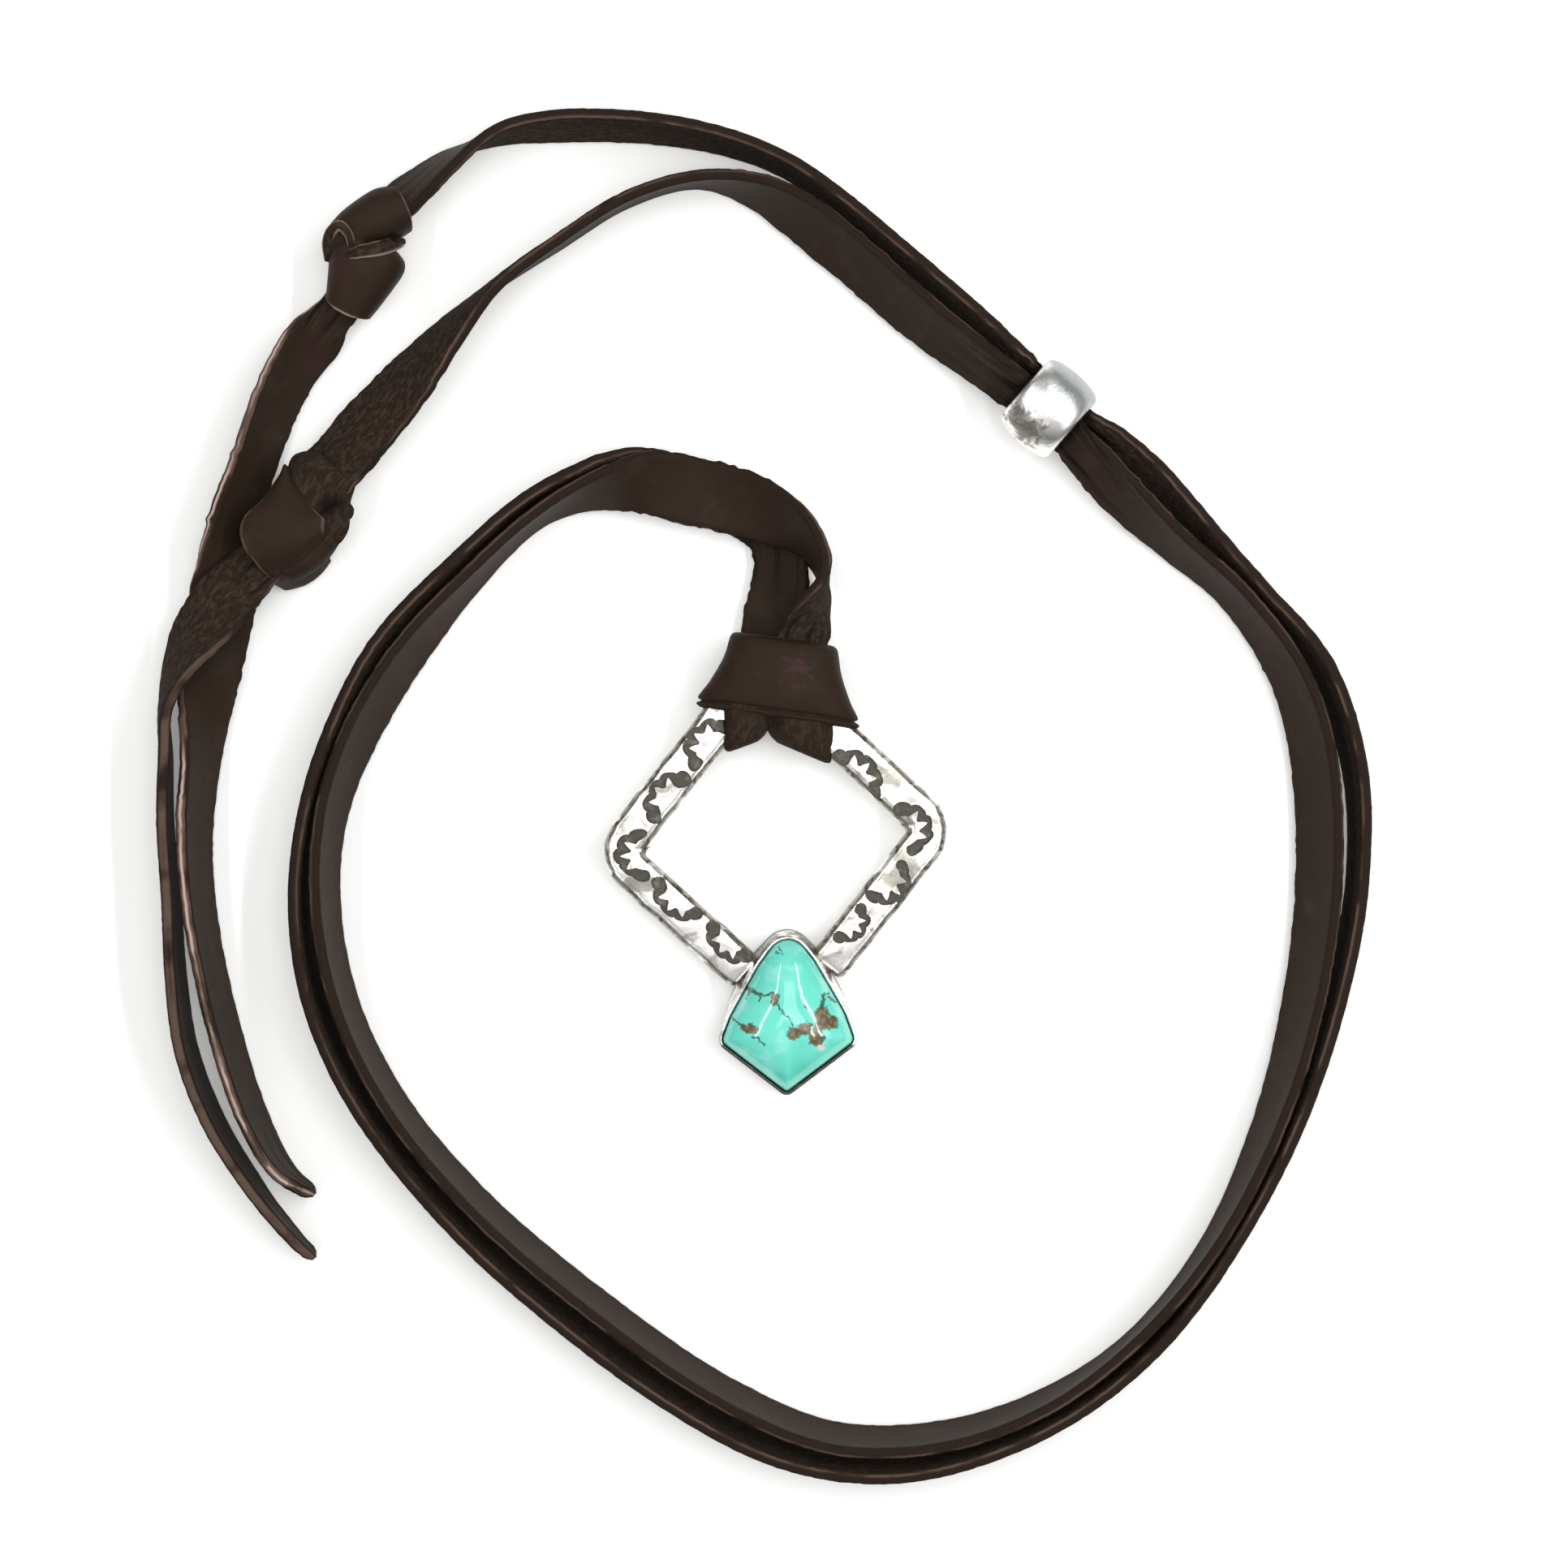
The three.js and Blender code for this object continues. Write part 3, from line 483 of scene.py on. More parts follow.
# leather lace, 8 mm wide and 1.3 mm thick: x, y in plan, lean in degrees, then the lowest edge and the
# width, which are left out where it lies on the table at its full width
strandAPath = [
    (-0.0002, 0.0262, 6, 0.0014),
    (0, 0.0285, 8, 0.0005),
    (0.0002, 0.0307, 12, 0.0003),
    (0.0005, 0.0333, 20, 0.0001, 0.0074),
    (0.0006, 0.0363, 18, 0.0001, 0.0066),
    (0, 0.0395, 12, 0.0001, 0.0064),
    (-0.0024, 0.0421, 10, 0.0001, 0.0068),
    (-0.0064, 0.0439, 10, 0.0001, 0.0074),
    (-0.011, 0.0451, 14),
    (-0.015, 0.0463, 30),
    (-0.0187, 0.0469, 58),
    (-0.0232, 0.0462, 78),
    (-0.0284, 0.0436, 83),
    (-0.0363, 0.036, 73),
    (-0.0448, 0.0271, 72),
    (-0.05, 0.0181, 76),
    (-0.0536, 0.0088, 84),
    (-0.055, -0.0023, 86),
    (-0.0533, -0.014, 83),
    (-0.0481, -0.0257, 81),
    (-0.0386, -0.0379, 80),
    (-0.0252, -0.0501, 79),
    (-0.0113, -0.0604, 79),
    (0.0011, -0.0665, 79),
    (0.013, -0.0682, 79),
    (0.0245, -0.0659, 80),
    (0.0353, -0.0605, 81),
    (0.0449, -0.0526, 84),
    (0.0528, -0.0417, 84),
    (0.0599, -0.0279, 82),
    (0.0647, -0.0136, 84),
    (0.0673, 0.0007, 86),
    (0.0669, 0.0136, 83),
    (0.0628, 0.0246, 78),
    (0.0556, 0.0328, 74),
    (0.0493, 0.0397, 70),
    (0.0436, 0.046, 66, 0.0006, 0.0078),
    (0.0388, 0.05, 50, 0.0015, 0.006),
    (0.0346, 0.0526, 35, 0.00235, 0.005),
    (0.0296, 0.0569, 35, 0.00235, 0.005),
    (0.0264, 0.0607, 66, 0.0013, 0.0068),
    (0.0206, 0.0665, 76, 0.0003),
    (0.0145, 0.0722, 80),
    (0.008, 0.0777, 83),
    (0.0014, 0.0822, 84),
    (-0.006, 0.0851, 82),
    (-0.0144, 0.0867, 79),
    (-0.0246, 0.087, 78),
    (-0.0318, 0.0861, 88),
    (-0.0379, 0.0829, 112, 0.0005),
    (-0.0435, 0.0783, 130, 0.0014, 0.0072),
    (-0.0456, 0.0768, 132, 0.0022, 0.0068),
]
strandBPath = [
    (0.0026, 0.0258, 168, 0.0046, 0.0062),
    (0.0034, 0.0282, 160, 0.004, 0.006),
    (0.0042, 0.0305, 122, 0.0034, 0.0076),
    (0.0053, 0.0335, 98, 0.0024),
    (0.0053, 0.0361, 80, 0.0022),
    (0.004, 0.0386, 70, 0.0024),
    (0.0018, 0.0406, 54, 0.0025),
    (-0.0026, 0.0429, 30, 0.0023),
    (-0.0063, 0.0441, 17, 0.0022),
    (-0.0106, 0.0451, 15, 0.0022),
    (-0.0144, 0.0457, 28, 0.0021),
    (-0.0182, 0.0453, 54, 0.0012),
    (-0.023, 0.0441, 74, 0.0004),
    (-0.0282, 0.0413, 84),
    (-0.0352, 0.0347, 80),
    (-0.0428, 0.0257, 68),
    (-0.0482, 0.0167, 68),
    (-0.0514, 0.0077, 74),
    (-0.0522, -0.0023, 77),
    (-0.05, -0.0143, 78),
    (-0.044, -0.0263, 78),
    (-0.034, -0.0381, 77),
    (-0.0202, -0.0499, 76),
    (-0.006, -0.0595, 76),
    (0.007, -0.0647, 77),
    (0.02, -0.0645, 79),
    (0.0314, -0.0605, 84),
    (0.0412, -0.0537, 90),
    (0.05, -0.0431, 86),
    (0.0566, -0.0297, 76),
    (0.0609, -0.0159, 66),
    (0.063, -0.0003, 60),
    (0.0624, 0.0137, 60),
    (0.0594, 0.0239, 66),
    (0.0532, 0.0327, 74),
    (0.0459, 0.039, 70, 0.0004),
    (0.0401, 0.0442, 56, 0.0016, 0.0074),
    (0.036, 0.0485, 44, 0.0032, 0.006),
    (0.0336, 0.0513, 35, 0.00395, 0.005),
    (0.0286, 0.0556, 35, 0.00395, 0.005),
    (0.025, 0.0585, 56, 0.0024, 0.0068),
    (0.0183, 0.0637, 57, 0.0005),
    (0.0097, 0.0712, 54),
    (0.0034, 0.0763, 56),
    (-0.002, 0.0795, 72),
    (-0.0088, 0.0809, 90),
    (-0.017, 0.0787, 92),
    (-0.0256, 0.0733, 93),
    (-0.0324, 0.0685, 99),
    (-0.0376, 0.0633, 118, 0.0003),
    (-0.043, 0.0569, 142, 0.0012),
    (-0.0474, 0.0519, 156, 0.002, 0.0078),
    (-0.0507, 0.0481, 164, 0.0024, 0.0072),
    (-0.0531, 0.0453, 168, 0.0026, 0.0078),
]
tailAPath = [
    (-0.0497, 0.0669, 14, 0.0022, 0.0046),
    (-0.0514, 0.0651, 20, 0.001, 0.005),
    (-0.0536, 0.0623, 44, 0.0003, 0.0076),
    (-0.0558, 0.0591, 54),
    (-0.058, 0.0547, 58),
    (-0.0604, 0.0481, 60),
    (-0.0628, 0.0415, 56),
    (-0.0634, 0.0361, 30),
    (-0.0644, 0.0313, 12),
    (-0.0654, 0.0267, 14),
    (-0.0658, 0.0215, 44),
    (-0.0664, 0.0147, 66),
    (-0.0671, 0.0067, 72),
    (-0.0669, -0.0007, 75),
    (-0.0658, -0.0089, 76),
    (-0.0636, -0.0183, 76),
    (-0.0604, -0.0275, 78),
    (-0.057, -0.0337, 82, 0.0001, 0.007),
    (-0.0534, -0.0367, 90, 0.0002, 0.005),
]
tailBPath = [
    (-0.0582, 0.0378, 172, 0.0036, 0.0062),
    (-0.0603, 0.0355, 168, 0.0036, 0.0064),
    (-0.0634, 0.0323, 160, 0.0039, 0.0078),
    (-0.0662, 0.0287, 144, 0.0038),
    (-0.0686, 0.0247, 120, 0.0036),
    (-0.0704, 0.0199, 102, 0.0016),
    (-0.0706, 0.0143, 95),
    (-0.0706, 0.0067, 92),
    (-0.0699, -0.0023, 90),
    (-0.0694, -0.0113, 88),
    (-0.0682, -0.0197, 86),
    (-0.065, -0.0283, 86),
    (-0.0606, -0.0355, 88, 0.0001, 0.0076),
    (-0.0574, -0.0397, 90, 0.0001, 0.0066),
    (-0.0534, -0.0441, 92, 0.0002, 0.005),
]

lace = {
    "wide": 8 * mm,
    "thick": 1.3 * mm,
    "low": 0.1 * mm,
    "round": 0.3 * mm,
    "faceCuts": 12,
    "step": 0.55 * mm,
    "ragged": 0.19 * mm,
    "spike": 0.6 * mm,
    "spikeFrom": 0.36,
    "tip": 1.4 * mm,
    "tipFlat": 0.1,
    "fleshRough": 0.09 * mm,
    "grainRough": 0.03 * mm,
    "fold": 1.1 * mm,
    "sway": 0.25 * mm,
    "lowest": 0.02 * mm,
    "lowestEdge": 0.05 * mm,
    "bendMiddle": 0.35,
    # a raw edge with a painted highlight is brightest this near its middle, and has a share of that beside it
    "rawLine": 0.1 * mm,
    "rawShare": 0.45,
}


# a row of a route with what it leaves out
def fullRow(x, y, lean, low=lace["low"], wide=lace["wide"]):
    return x, y, lean, low, wide


def smoothed(values, t):
    i = min(int(t), len(values) - 2)
    share = t - i
    p1, p2 = values[i], values[i + 1]
    p0 = values[i - 1] if i > 0 else p1
    p3 = values[i + 2] if i + 2 < len(values) else p2
    a = 2 * p1
    b = p2 - p0
    c = 2 * p0 - 5 * p1 + 4 * p2 - p3
    d = 3 * p1 - p0 - 3 * p2 + p3
    return 0.5 * (a + b * share + c * share**2 + d * share**3)


# even samples along a centripetal curve through the points, each as (row and share, point)
def curveThrough(points, step):
    ends = [points[0] * 2 - points[1], *points, points[-1] * 2 - points[-2]]
    samples = []
    for i in range(len(points) - 1):
        p0, p1, p2, p3 = ends[i : i + 4]
        d1, d2, d3 = (p1 - p0).length ** 0.5, (p2 - p1).length ** 0.5, (p3 - p2).length ** 0.5
        m1 = ((p1 - p0) / d1 - (p2 - p0) / (d1 + d2) + (p2 - p1) / d2) * d2
        m2 = ((p2 - p1) / d2 - (p3 - p1) / (d2 + d3) + (p3 - p2) / d3) * d2
        count = max(1, round((p2 - p1).length / step))
        for k in range(count):
            t = k / count
            h = (2 * t**3 - 3 * t**2 + 1, t**3 - 2 * t**2 + t, 3 * t**2 - 2 * t**3, t**3 - t**2)
            samples.append((i + t, p1 * h[0] + m1 * h[1] + p2 * h[2] + m2 * h[3]))
    samples.append((len(points) - 1.0, points[-1]))
    return samples


# the curve's direction at one of its samples
def runAt(samples, n):
    return (samples[min(n + 1, len(samples) - 1)][1] - samples[max(n - 1, 0)][1]).normalized()


# one ring of the lace's section: (across, out of the middle, flesh side, raw rim)
def laceRing(wide):
    half, thick, turn = wide / 2, lace["thick"] / 2, lace["round"]
    cuts = lace["faceCuts"]
    ring = []
    for side, flesh in ((1, 0.0), (-1, 1.0)):
        for k in range(cuts + 1):
            across = side * (half - turn) * (1 - 2 * k / cuts)
            rim = 0.6 if k in (0, cuts) else 0.0
            ring.append((across, side * thick, flesh, rim))
        for k in (0.7, 0.0, -0.7):
            ring.append((-side * (half - turn * abs(k) ** 2), side * thick * k, 0.5 - 0.5 * side * k, 1.0))
    return ring


def wobble(x, y, seed):
    return noise.noise(Vector((x, y, seed)))


def onlySelect(made):
    bpy.ops.object.select_all(action="DESELECT")
    made.select_set(True)
    bpy.context.view_layer.objects.active = made


def selectAll():
    bpy.ops.mesh.select_all(action="SELECT")


def enterEdit():
    bpy.ops.object.mode_set(mode="EDIT")


def edit():
    enterEdit()
    selectAll()


def leaveEdit():
    bpy.ops.object.mode_set(mode="OBJECT")


# ends the editing of a piece: faces point outwards
def faceOut():
    selectAll()
    bpy.ops.mesh.normals_make_consistent(inside=False)
    leaveEdit()


# the same, and near points merge
def closeUp(gap=0.004 * mm):
    selectAll()
    bpy.ops.mesh.remove_doubles(threshold=gap)
    faceOut()


def weld(made):
    onlySelect(made)
    edit()
    closeUp(0.002 * mm)
    made.select_set(False)


def newObject(name, points=(), edges=(), faces=()):
    mesh = bpy.data.meshes.new(name)
    mesh.from_pydata(points, edges, faces)
    made = bpy.data.objects.new(name, mesh)
    bpy.context.collection.objects.link(made)
    return made


# gives a piece its looks, its body and slot, and says which CAD nodes it stands for
def finishPiece(made, slot, materials, *nodes):
    for material in materials:
        made.data.materials.append(material)
    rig.ride(made, "root")
    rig.slot(made, slot)
    if nodes:
        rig.replaces(made, *nodes)
    return made


# rings of points that become one closed skin, with the values that the leather finish reads
class Skin:
    def __init__(self, around):
        self.around = around
        self.points = []
        self.values = {"flesh": [], "rim": [], "frayAndShine": [], "laceMap": [], "squeeze": []}

    # place is where the point lies on the flat lace: along it and across it
    def add(self, point, flesh, rim, frayAndShine, place, squeeze=0.0):
        self.points.append(point)
        for column, value in zip(self.values.values(), (flesh, rim, frayAndShine, (*place, 0.0), squeeze)):
            column.append(value)

    def cap(self, faces, start, order):
        ring = self.points[start : start + self.around]
        self.points.append(sum(ring, Vector()) / self.around)
        for column in self.values.values():
            column.append(column[start])
        self.values["rim"][-1] = 1.0
        for i in range(self.around):
            faces.append((start + i, start + (i + 1) % self.around, len(self.points) - 1)[::order])

    def piece(self, name, closedEnds=True):
        around, last = self.around, len(self.points) - self.around
        faces = []
        for start in range(0, last, around):
            for i in range(around):
                a, b = start + i, start + (i + 1) % around
                faces.append((a, b, b + around, a + around))
        if closedEnds:
            self.cap(faces, 0, -1)
            self.cap(faces, last, 1)
        made = newObject(name, self.points, [], faces)
        for key, column in self.values.items():
            kind, part = ("FLOAT_VECTOR", "vector") if key == "laceMap" else ("FLOAT", "value")
            attribute = made.data.attributes.new(key, kind, "POINT")
            for item, value in zip(attribute.data, column):
                setattr(item, part, value)
        made.data.polygons.foreach_set("use_smooth", [True] * len(faces))
        made.data.update()
        return made


# grainFlips is the row from which the lace shows its other face; rawEdgeShine paints a highlight along one raw edge
def makeLace(name, node, rows, seed, cup=0.25 * mm, grainFlips=None, rawEdgeShine=0.0):
    rows = [fullRow(*row) for row in rows]
    samples = curveThrough([Vector((row[0], row[1], 0)) for row in rows], lace["step"])
    leans, lows, wides = ([row[k] for row in rows] for k in (2, 3, 4))
    skin, path, travelled = Skin(len(laceRing(lace["wide"]))), [], 0.0
    for n, (t, plain) in enumerate(samples):
        lean = math.radians(smoothed(leans, t))
        wide = smoothed(wides, t)
        left = (samples[-1][1] - plain).length if rawEdgeShine and t > len(rows) - 2 else lace["tip"]
        close = math.sqrt(max(lace["tipFlat"], 1 - (1 - min(left / lace["tip"], 1)) ** 2))
        high = (abs(math.sin(lean)) * wide + abs(math.cos(lean)) * lace["thick"]) / 2
        middle = Vector((plain.x, plain.y, max(smoothed(lows, t), lace["lowestEdge"]) + high))
        if n:
            travelled += (middle - path[-1]).length
        path.append(middle)
        along = runAt(samples, n)
        inward = Vector((-along.y, along.x, 0))
        up = Vector((0, 0, 1))
        across = inward * math.cos(lean) - up * math.sin(lean)
        normal = inward * math.sin(lean) + up * math.cos(lean)
        squeeze = max(0.0, 1 - wide / lace["wide"])
        # noise is read at waves for each millimetre
        s = travelled / mm
        sway = wobble(s * 0.05, 0.3, seed + 31) * lace["sway"]
        for a, out, flesh, rim in laceRing(wide):
            if grainFlips is not None and t > grainFlips:
                flesh = 1 - flesh
            w = a / mm
            rag = wobble(s * 0.9, a * 200, seed) + 0.7 * wobble(s * 2.9, a * 200, seed + 5)
            grit = wobble(s * 1.6, w * 1.6, seed + 9) + 0.5 * wobble(s * 4, w * 4, seed + 11)
            fold = wobble(s * 0.12, w * 1.5, seed + 21) * squeeze * lace["fold"]
            deep = flesh * lace["fleshRough"] + (1 - flesh) * lace["grainRough"]
            spike = max(0.0, wobble(s * 1.7, a * 300, seed + 41) - lace["spikeFrom"]) * lace["spike"]
            a2 = a + ((rag * lace["ragged"] + spike) * math.copysign(1, a) if rim > 0.5 else 0)
            bend = cup * ((2 * a / wide) ** 2 - lace["bendMiddle"])
            out2 = out + math.copysign(1, out) * grit * deep * (1 - rim) + bend + sway + fold
            point = middle + (across * a2 + normal * out2) * close
            point.z = max(point.z, lace["lowest"])
            # the edge value: fraying on flesh-side rims, and a painted highlight along a chosen raw edge
            frayAndShine = max(0.0, (flesh - 0.5) * 2) if rim > 0.8 else 0.0
            if rawEdgeShine and a < 0 and rim > 0.8:
                frayAndShine = rawEdgeShine * (1.0 if abs(out) < lace["rawLine"] else lace["rawShare"])
            skin.add(point, flesh, rim, frayAndShine, (travelled, a), squeeze)
    made = finishPiece(skin.piece(name), "leather", [leather], node)
    return made, path, travelled


leather = leatherFinish()
strandA, strandALine, strandALong = makeLace("laceStrandA", "strand_a", strandAPath, 3.1, 0.15 * mm, 6.0)
strandB, strandBLine, strandBLong = makeLace("laceStrandB", "strand_b", strandBPath, 7.7)
tailA, tailALine, tailALong = makeLace("laceTailA", "tail_a", tailAPath, 12.4, rawEdgeShine=2.0)
tailB, tailBLine, tailBLong = makeLace("laceTailB", "tail_b", tailBPath, 17.9, rawEdgeShine=1.0)
print("lace laid:", *(round(long, 4) for long in (strandALong, strandBLong, tailALong, tailBLong)))

# wraps of the same lace, in rows of x, y, z of the middle, heading, width, height and fullness
hitchBandRows = [
    (0.001, 0.0276, 0.0042, 262, 0.0116, 0.0062, 0.45),
    (0.001, 0.027, 0.0045, 262, 0.0126, 0.0082, 0.5),
    (0.0008, 0.0245, 0.0046, 262, 0.0138, 0.009, 0.5),
    (0.0005, 0.0216, 0.0045, 262, 0.0164, 0.0088, 0.45),
    (0.0003, 0.0196, 0.0043, 262, 0.0188, 0.0082, 0.4),
    (0.0003, 0.0186, 0.0042, 262, 0.0184, 0.007, 0.3),
]
hitchLegRows = [
    [
        (-0.0032, 0.0207, 0.0041, 270, 0.0058, 0.0078, 0.6),
        (-0.0032, 0.0176, 0.0039, 278, 0.0056, 0.0072, 0.7),
        (-0.0036, 0.0157, 0.0038, 288, 0.0046, 0.006, 0.5),
        (-0.0037, 0.0152, 0.0037, 290, 0.0034, 0.0044, 0.2),
    ],
    [
        (0.0027, 0.0207, 0.0041, 266, 0.0082, 0.0078, 0.6),
        (0.0027, 0.0172, 0.0039, 254, 0.0084, 0.0072, 0.7),
        (0.0029, 0.0151, 0.0037, 247, 0.0076, 0.0058, 0.5),
        (0.003, 0.0145, 0.0036, 247, 0.006, 0.0042, 0.2),
    ],
]
knotASleeveRows = [
    (-0.0468, 0.0737, 0.0041, 246, 0.0072, 0.0068, 0.3),
    (-0.0469, 0.0728, 0.0043, 248, 0.0088, 0.008, 0.35),
    (-0.0472, 0.0715, 0.0043, 250, 0.009, 0.0082, 0.3),
    (-0.0478, 0.0697, 0.0041, 250, 0.008, 0.0078, 0.3),
    (-0.0486, 0.0678, 0.0039, 246, 0.0068, 0.007, 0.3),
    (-0.0494, 0.066, 0.0037, 242, 0.0056, 0.0062, 0.3),
]
knotADomeRows = [
    (-0.0431, 0.0773, 0.0046, 206, 0.0054, 0.0072, 0.3),
    (-0.0446, 0.0768, 0.0046, 210, 0.0062, 0.0082, 0.3),
    (-0.0466, 0.0757, 0.0046, 216, 0.006, 0.0086, 0.35),
    (-0.0485, 0.0746, 0.0045, 218, 0.0054, 0.0082, 0.3),
    (-0.05, 0.0736, 0.0043, 220, 0.0044, 0.0074, 0.3),
    (-0.0508, 0.0729, 0.004, 222, 0.003, 0.0056, 0.3),
]
knotBCoreRows = [
    (-0.0508, 0.0474, 0.0034, 226, 0.006, 0.004, 0.2),
    (-0.0524, 0.0461, 0.0037, 228, 0.0086, 0.0054, 0.3),
    (-0.0532, 0.0434, 0.0038, 230, 0.0092, 0.0066, 0.3),
    (-0.0547, 0.0404, 0.0039, 232, 0.009, 0.0068, 0.3),
    (-0.0563, 0.0381, 0.004, 234, 0.0082, 0.0066, 0.3),
    (-0.0582, 0.0362, 0.0042, 234, 0.0066, 0.0054, 0.3),
]

wrap = {
    "around": 84,
    "along": 48,
    "rough": 0.03 * mm,
    "endRound": 0.12,
    "mapAround": 25 * mm,
    "mapStep": 0.2 * mm,
    "lowest": 0.03 * mm,
    "oneLip": 0.9 * mm,
    "twoLips": 0.7 * mm,
}
lump = {"around": 72, "along": 36, "turnFrom": 0.35, "turnOver": 0.15}
# a groove and then a fuller lip, each with its place along the band, its reach and its height
hem = {"groove": (0.84, 0.024, -0.55 * mm), "lip": (0.93, 0.04, 0.2 * mm)}


# rings round an axis; moved in by a depth for the inner wall
def wrapRings(rows, around, along, inward, seed, rough, skew=None):
    rings = []
    for r in range(along + 1):
        t = r / along * (len(rows) - 1)
        x, y, z, heading, wide, high, full = (smoothed([row[k] for row in rows], t) for k in range(7))
        heading = math.radians(heading)
        side = Vector((-math.sin(heading), math.cos(heading), 0))
        ahead = Vector((math.cos(heading), math.sin(heading), 0))
        power = 1 - 0.5 * full
        ring = []
        for i in range(around):
            angle = 2 * math.pi * i / around
            c, s = math.cos(angle), math.sin(angle)
            w = (wide / 2 - inward) * math.copysign(abs(c) ** power, c)
            h = (high / 2 - inward) * math.copysign(abs(s) ** power, s)
            grit = wobble(r * 0.2, angle * 5, seed) + 0.6 * wobble(r * 0.3, angle * 13, seed + 3)
            onward, outward = skew(angle, r / along) if skew else (0.0, 0.0)
            out = Vector((side.x * c, side.y * c, s)) * (grit * rough + outward)
            point = Vector((x, y, z + h)) + side * w + out + ahead * onward
            point.z = max(point.z, wrap["lowest"])
            ring.append(point)
        rings.append(ring)
    return rings


# each of these says how far a wrap's wall is pushed along its axis and outward
def hemmed(angle, share):
    return 0.0, sum(high * math.exp(-(((share - at) / reach) ** 2)) for at, reach, high in hem.values())


# the upper lip stands further out than the sides
def fullLip(angle, share):
    return wrap["oneLip"] * math.sin(angle) * share**2, 0.0


def bothLips(angle, share):
    return wrap["twoLips"] * math.sin(angle) * (share**2 - (1 - share) ** 2), 0.0


# a band wound round its axis, open at both ends, with the lace's wall; lines paint highlights along its two end edges
def makeWrap(name, rows, seed, skew, shineLines):
    around, along, thick = wrap["around"], wrap["along"], lace["thick"]
    settings = (seed, wrap["rough"], skew)
    outer, inner = (wrapRings(rows, around, along, depth, *settings) for depth in (0.0, thick))
    ends = []
    for edge, inside in ((0, 1), (-1, -2)):
        push = (outer[edge][0] - outer[inside][0]).normalized() * thick * wrap["endRound"]
        ends.append([a.lerp(b, 0.5) + push for a, b in zip(outer[edge], inner[edge])])
    loop = [ends[0], *outer, ends[1], *inner[::-1], [point.copy() for point in ends[0]]]
    last = len(loop) - 1
    skin = Skin(around)
    for n, ring in enumerate(loop):
        flesh = 1.0 if n > along + 2 else 0.0
        rim = 1.0 if n in (0, along + 2, last) else 0.6 if n in (1, along + 1, along + 3, last - 1) else 0.0
        # painted highlight along the band's end edges
        line = shineLines[0] if n < 2 else shineLines[1] if n in (along + 1, along + 2) else 0.0
        for k, point in enumerate(ring):
            place = (k / around * wrap["mapAround"], min(n, along) * wrap["mapStep"])
            skin.add(point, flesh, rim, line, place)
    made = skin.piece(name, closedEnds=False)
    weld(made)
    return made


# a closed lump; from a third of its length on it shows its last flesh value
def makeLump(name, rows, seed, rough, flesh, fleshLast):
    around, along = lump["around"], lump["along"]
    skin = Skin(around)
    for n, ring in enumerate(wrapRings(rows, around, along, 0.0, seed, rough)):
        onward = min(max((n / along - lump["turnFrom"]) / lump["turnOver"], 0.0), 1.0)
        for k, point in enumerate(ring):
            place = (n * wrap["mapStep"], k / around * wrap["mapAround"])
            skin.add(point, flesh + (fleshLast - flesh) * onward, 0.0, 0.0, place)
    made = skin.piece(name)
    weld(made)
    return made


def finishLeather(made, *nodes):
    return finishPiece(made, "leather", [leather], *nodes)


hitchBand = makeWrap("hitchBand", hitchBandRows, 41.0, hemmed, (1.3, 0.0))
finishLeather(hitchBand, "lace_hitch")
hitchLegs = [
    finishLeather(makeLump("hitchLeg" + side, rows, seed, 0.14 * mm, 0.55, 0.55))
    for side, rows, seed in (("Left", hitchLegRows[0], 44.0), ("Right", hitchLegRows[1], 47.0))
]
knotASleeve = makeWrap("knotASleeve", knotASleeveRows, 51.0, fullLip, (0.0, 1.7))
finishLeather(knotASleeve, "knot_a")
knotADome = finishLeather(makeWrap("knotADome", knotADomeRows, 54.0, bothLips, (1.9, 0.0)))
knotBCore = finishLeather(makeLump("knotBCore", knotBCoreRows, 61.0, 0.08 * mm, 1.0, 0.1), "knot_b")
print("hitch and knots wound")

# flat bands laid over the knots: x, y, z of the middle, then how far it reaches to its left and right
knotBBandRows = [
    (-0.0564, 0.0474, 0.006, 0.0004, 0.0004),
    (-0.0564, 0.0454, 0.0069, 0.0014, 0.0014),
    (-0.0564, 0.0434, 0.0076, 0.0028, 0.0027),
    (-0.0564, 0.0412, 0.0082, 0.0045, 0.0049),
    (-0.0561, 0.0394, 0.0084, 0.0044, 0.005),
    (-0.0556, 0.0379, 0.008, 0.0042, 0.0044),
    (-0.055, 0.0368, 0.0064, 0.0039, 0.004),
    (-0.0544, 0.0359, 0.0038, 0.0034, 0.004),
    (-0.0539, 0.0351, 0.0012, 0.0028, 0.0036),
]
knotBFoldRows = [
    (-0.0506, 0.0434, 0.0044, 0.001, 0.0012),
    (-0.05, 0.0424, 0.0066, 0.001, 0.002),
    (-0.0505, 0.0408, 0.007, 0.0014, 0.0024),
    (-0.0517, 0.0391, 0.006, 0.0014, 0.002),
    (-0.0528, 0.0374, 0.003, 0.0008, 0.0012),
]
knotAFoldRows = [
    (-0.0488, 0.0716, 0.008, 0.0005, 0.0005),
    (-0.0475, 0.0718, 0.0089, 0.0007, 0.0006),
    (-0.0458, 0.0721, 0.0089, 0.0008, 0.0007),
    (-0.0442, 0.0727, 0.0075, 0.0008, 0.0007),
    (-0.0431, 0.0735, 0.0044, 0.0004, 0.0004),
]
knotAHookRows = [
    (-0.0514, 0.0714, 0.005, 0.0006, 0.0007),
    (-0.0514, 0.0732, 0.007, 0.0006, 0.0007),
    (-0.0508, 0.0744, 0.0084, 0.0005, 0.0006),
    (-0.0498, 0.0748, 0.0091, 0.0005, 0.0005),
    (-0.0489, 0.074, 0.009, 0.0004, 0.0005),
    (-0.0485, 0.0727, 0.0082, 0.0003, 0.0004),
]

band = {
    "step": 0.35 * mm,
    "edgeOut": 0.12 * mm,
    "lowest": 0.05 * mm,
    "grit": 0.04 * mm,
    "fleshGrit": 0.08 * mm,
}
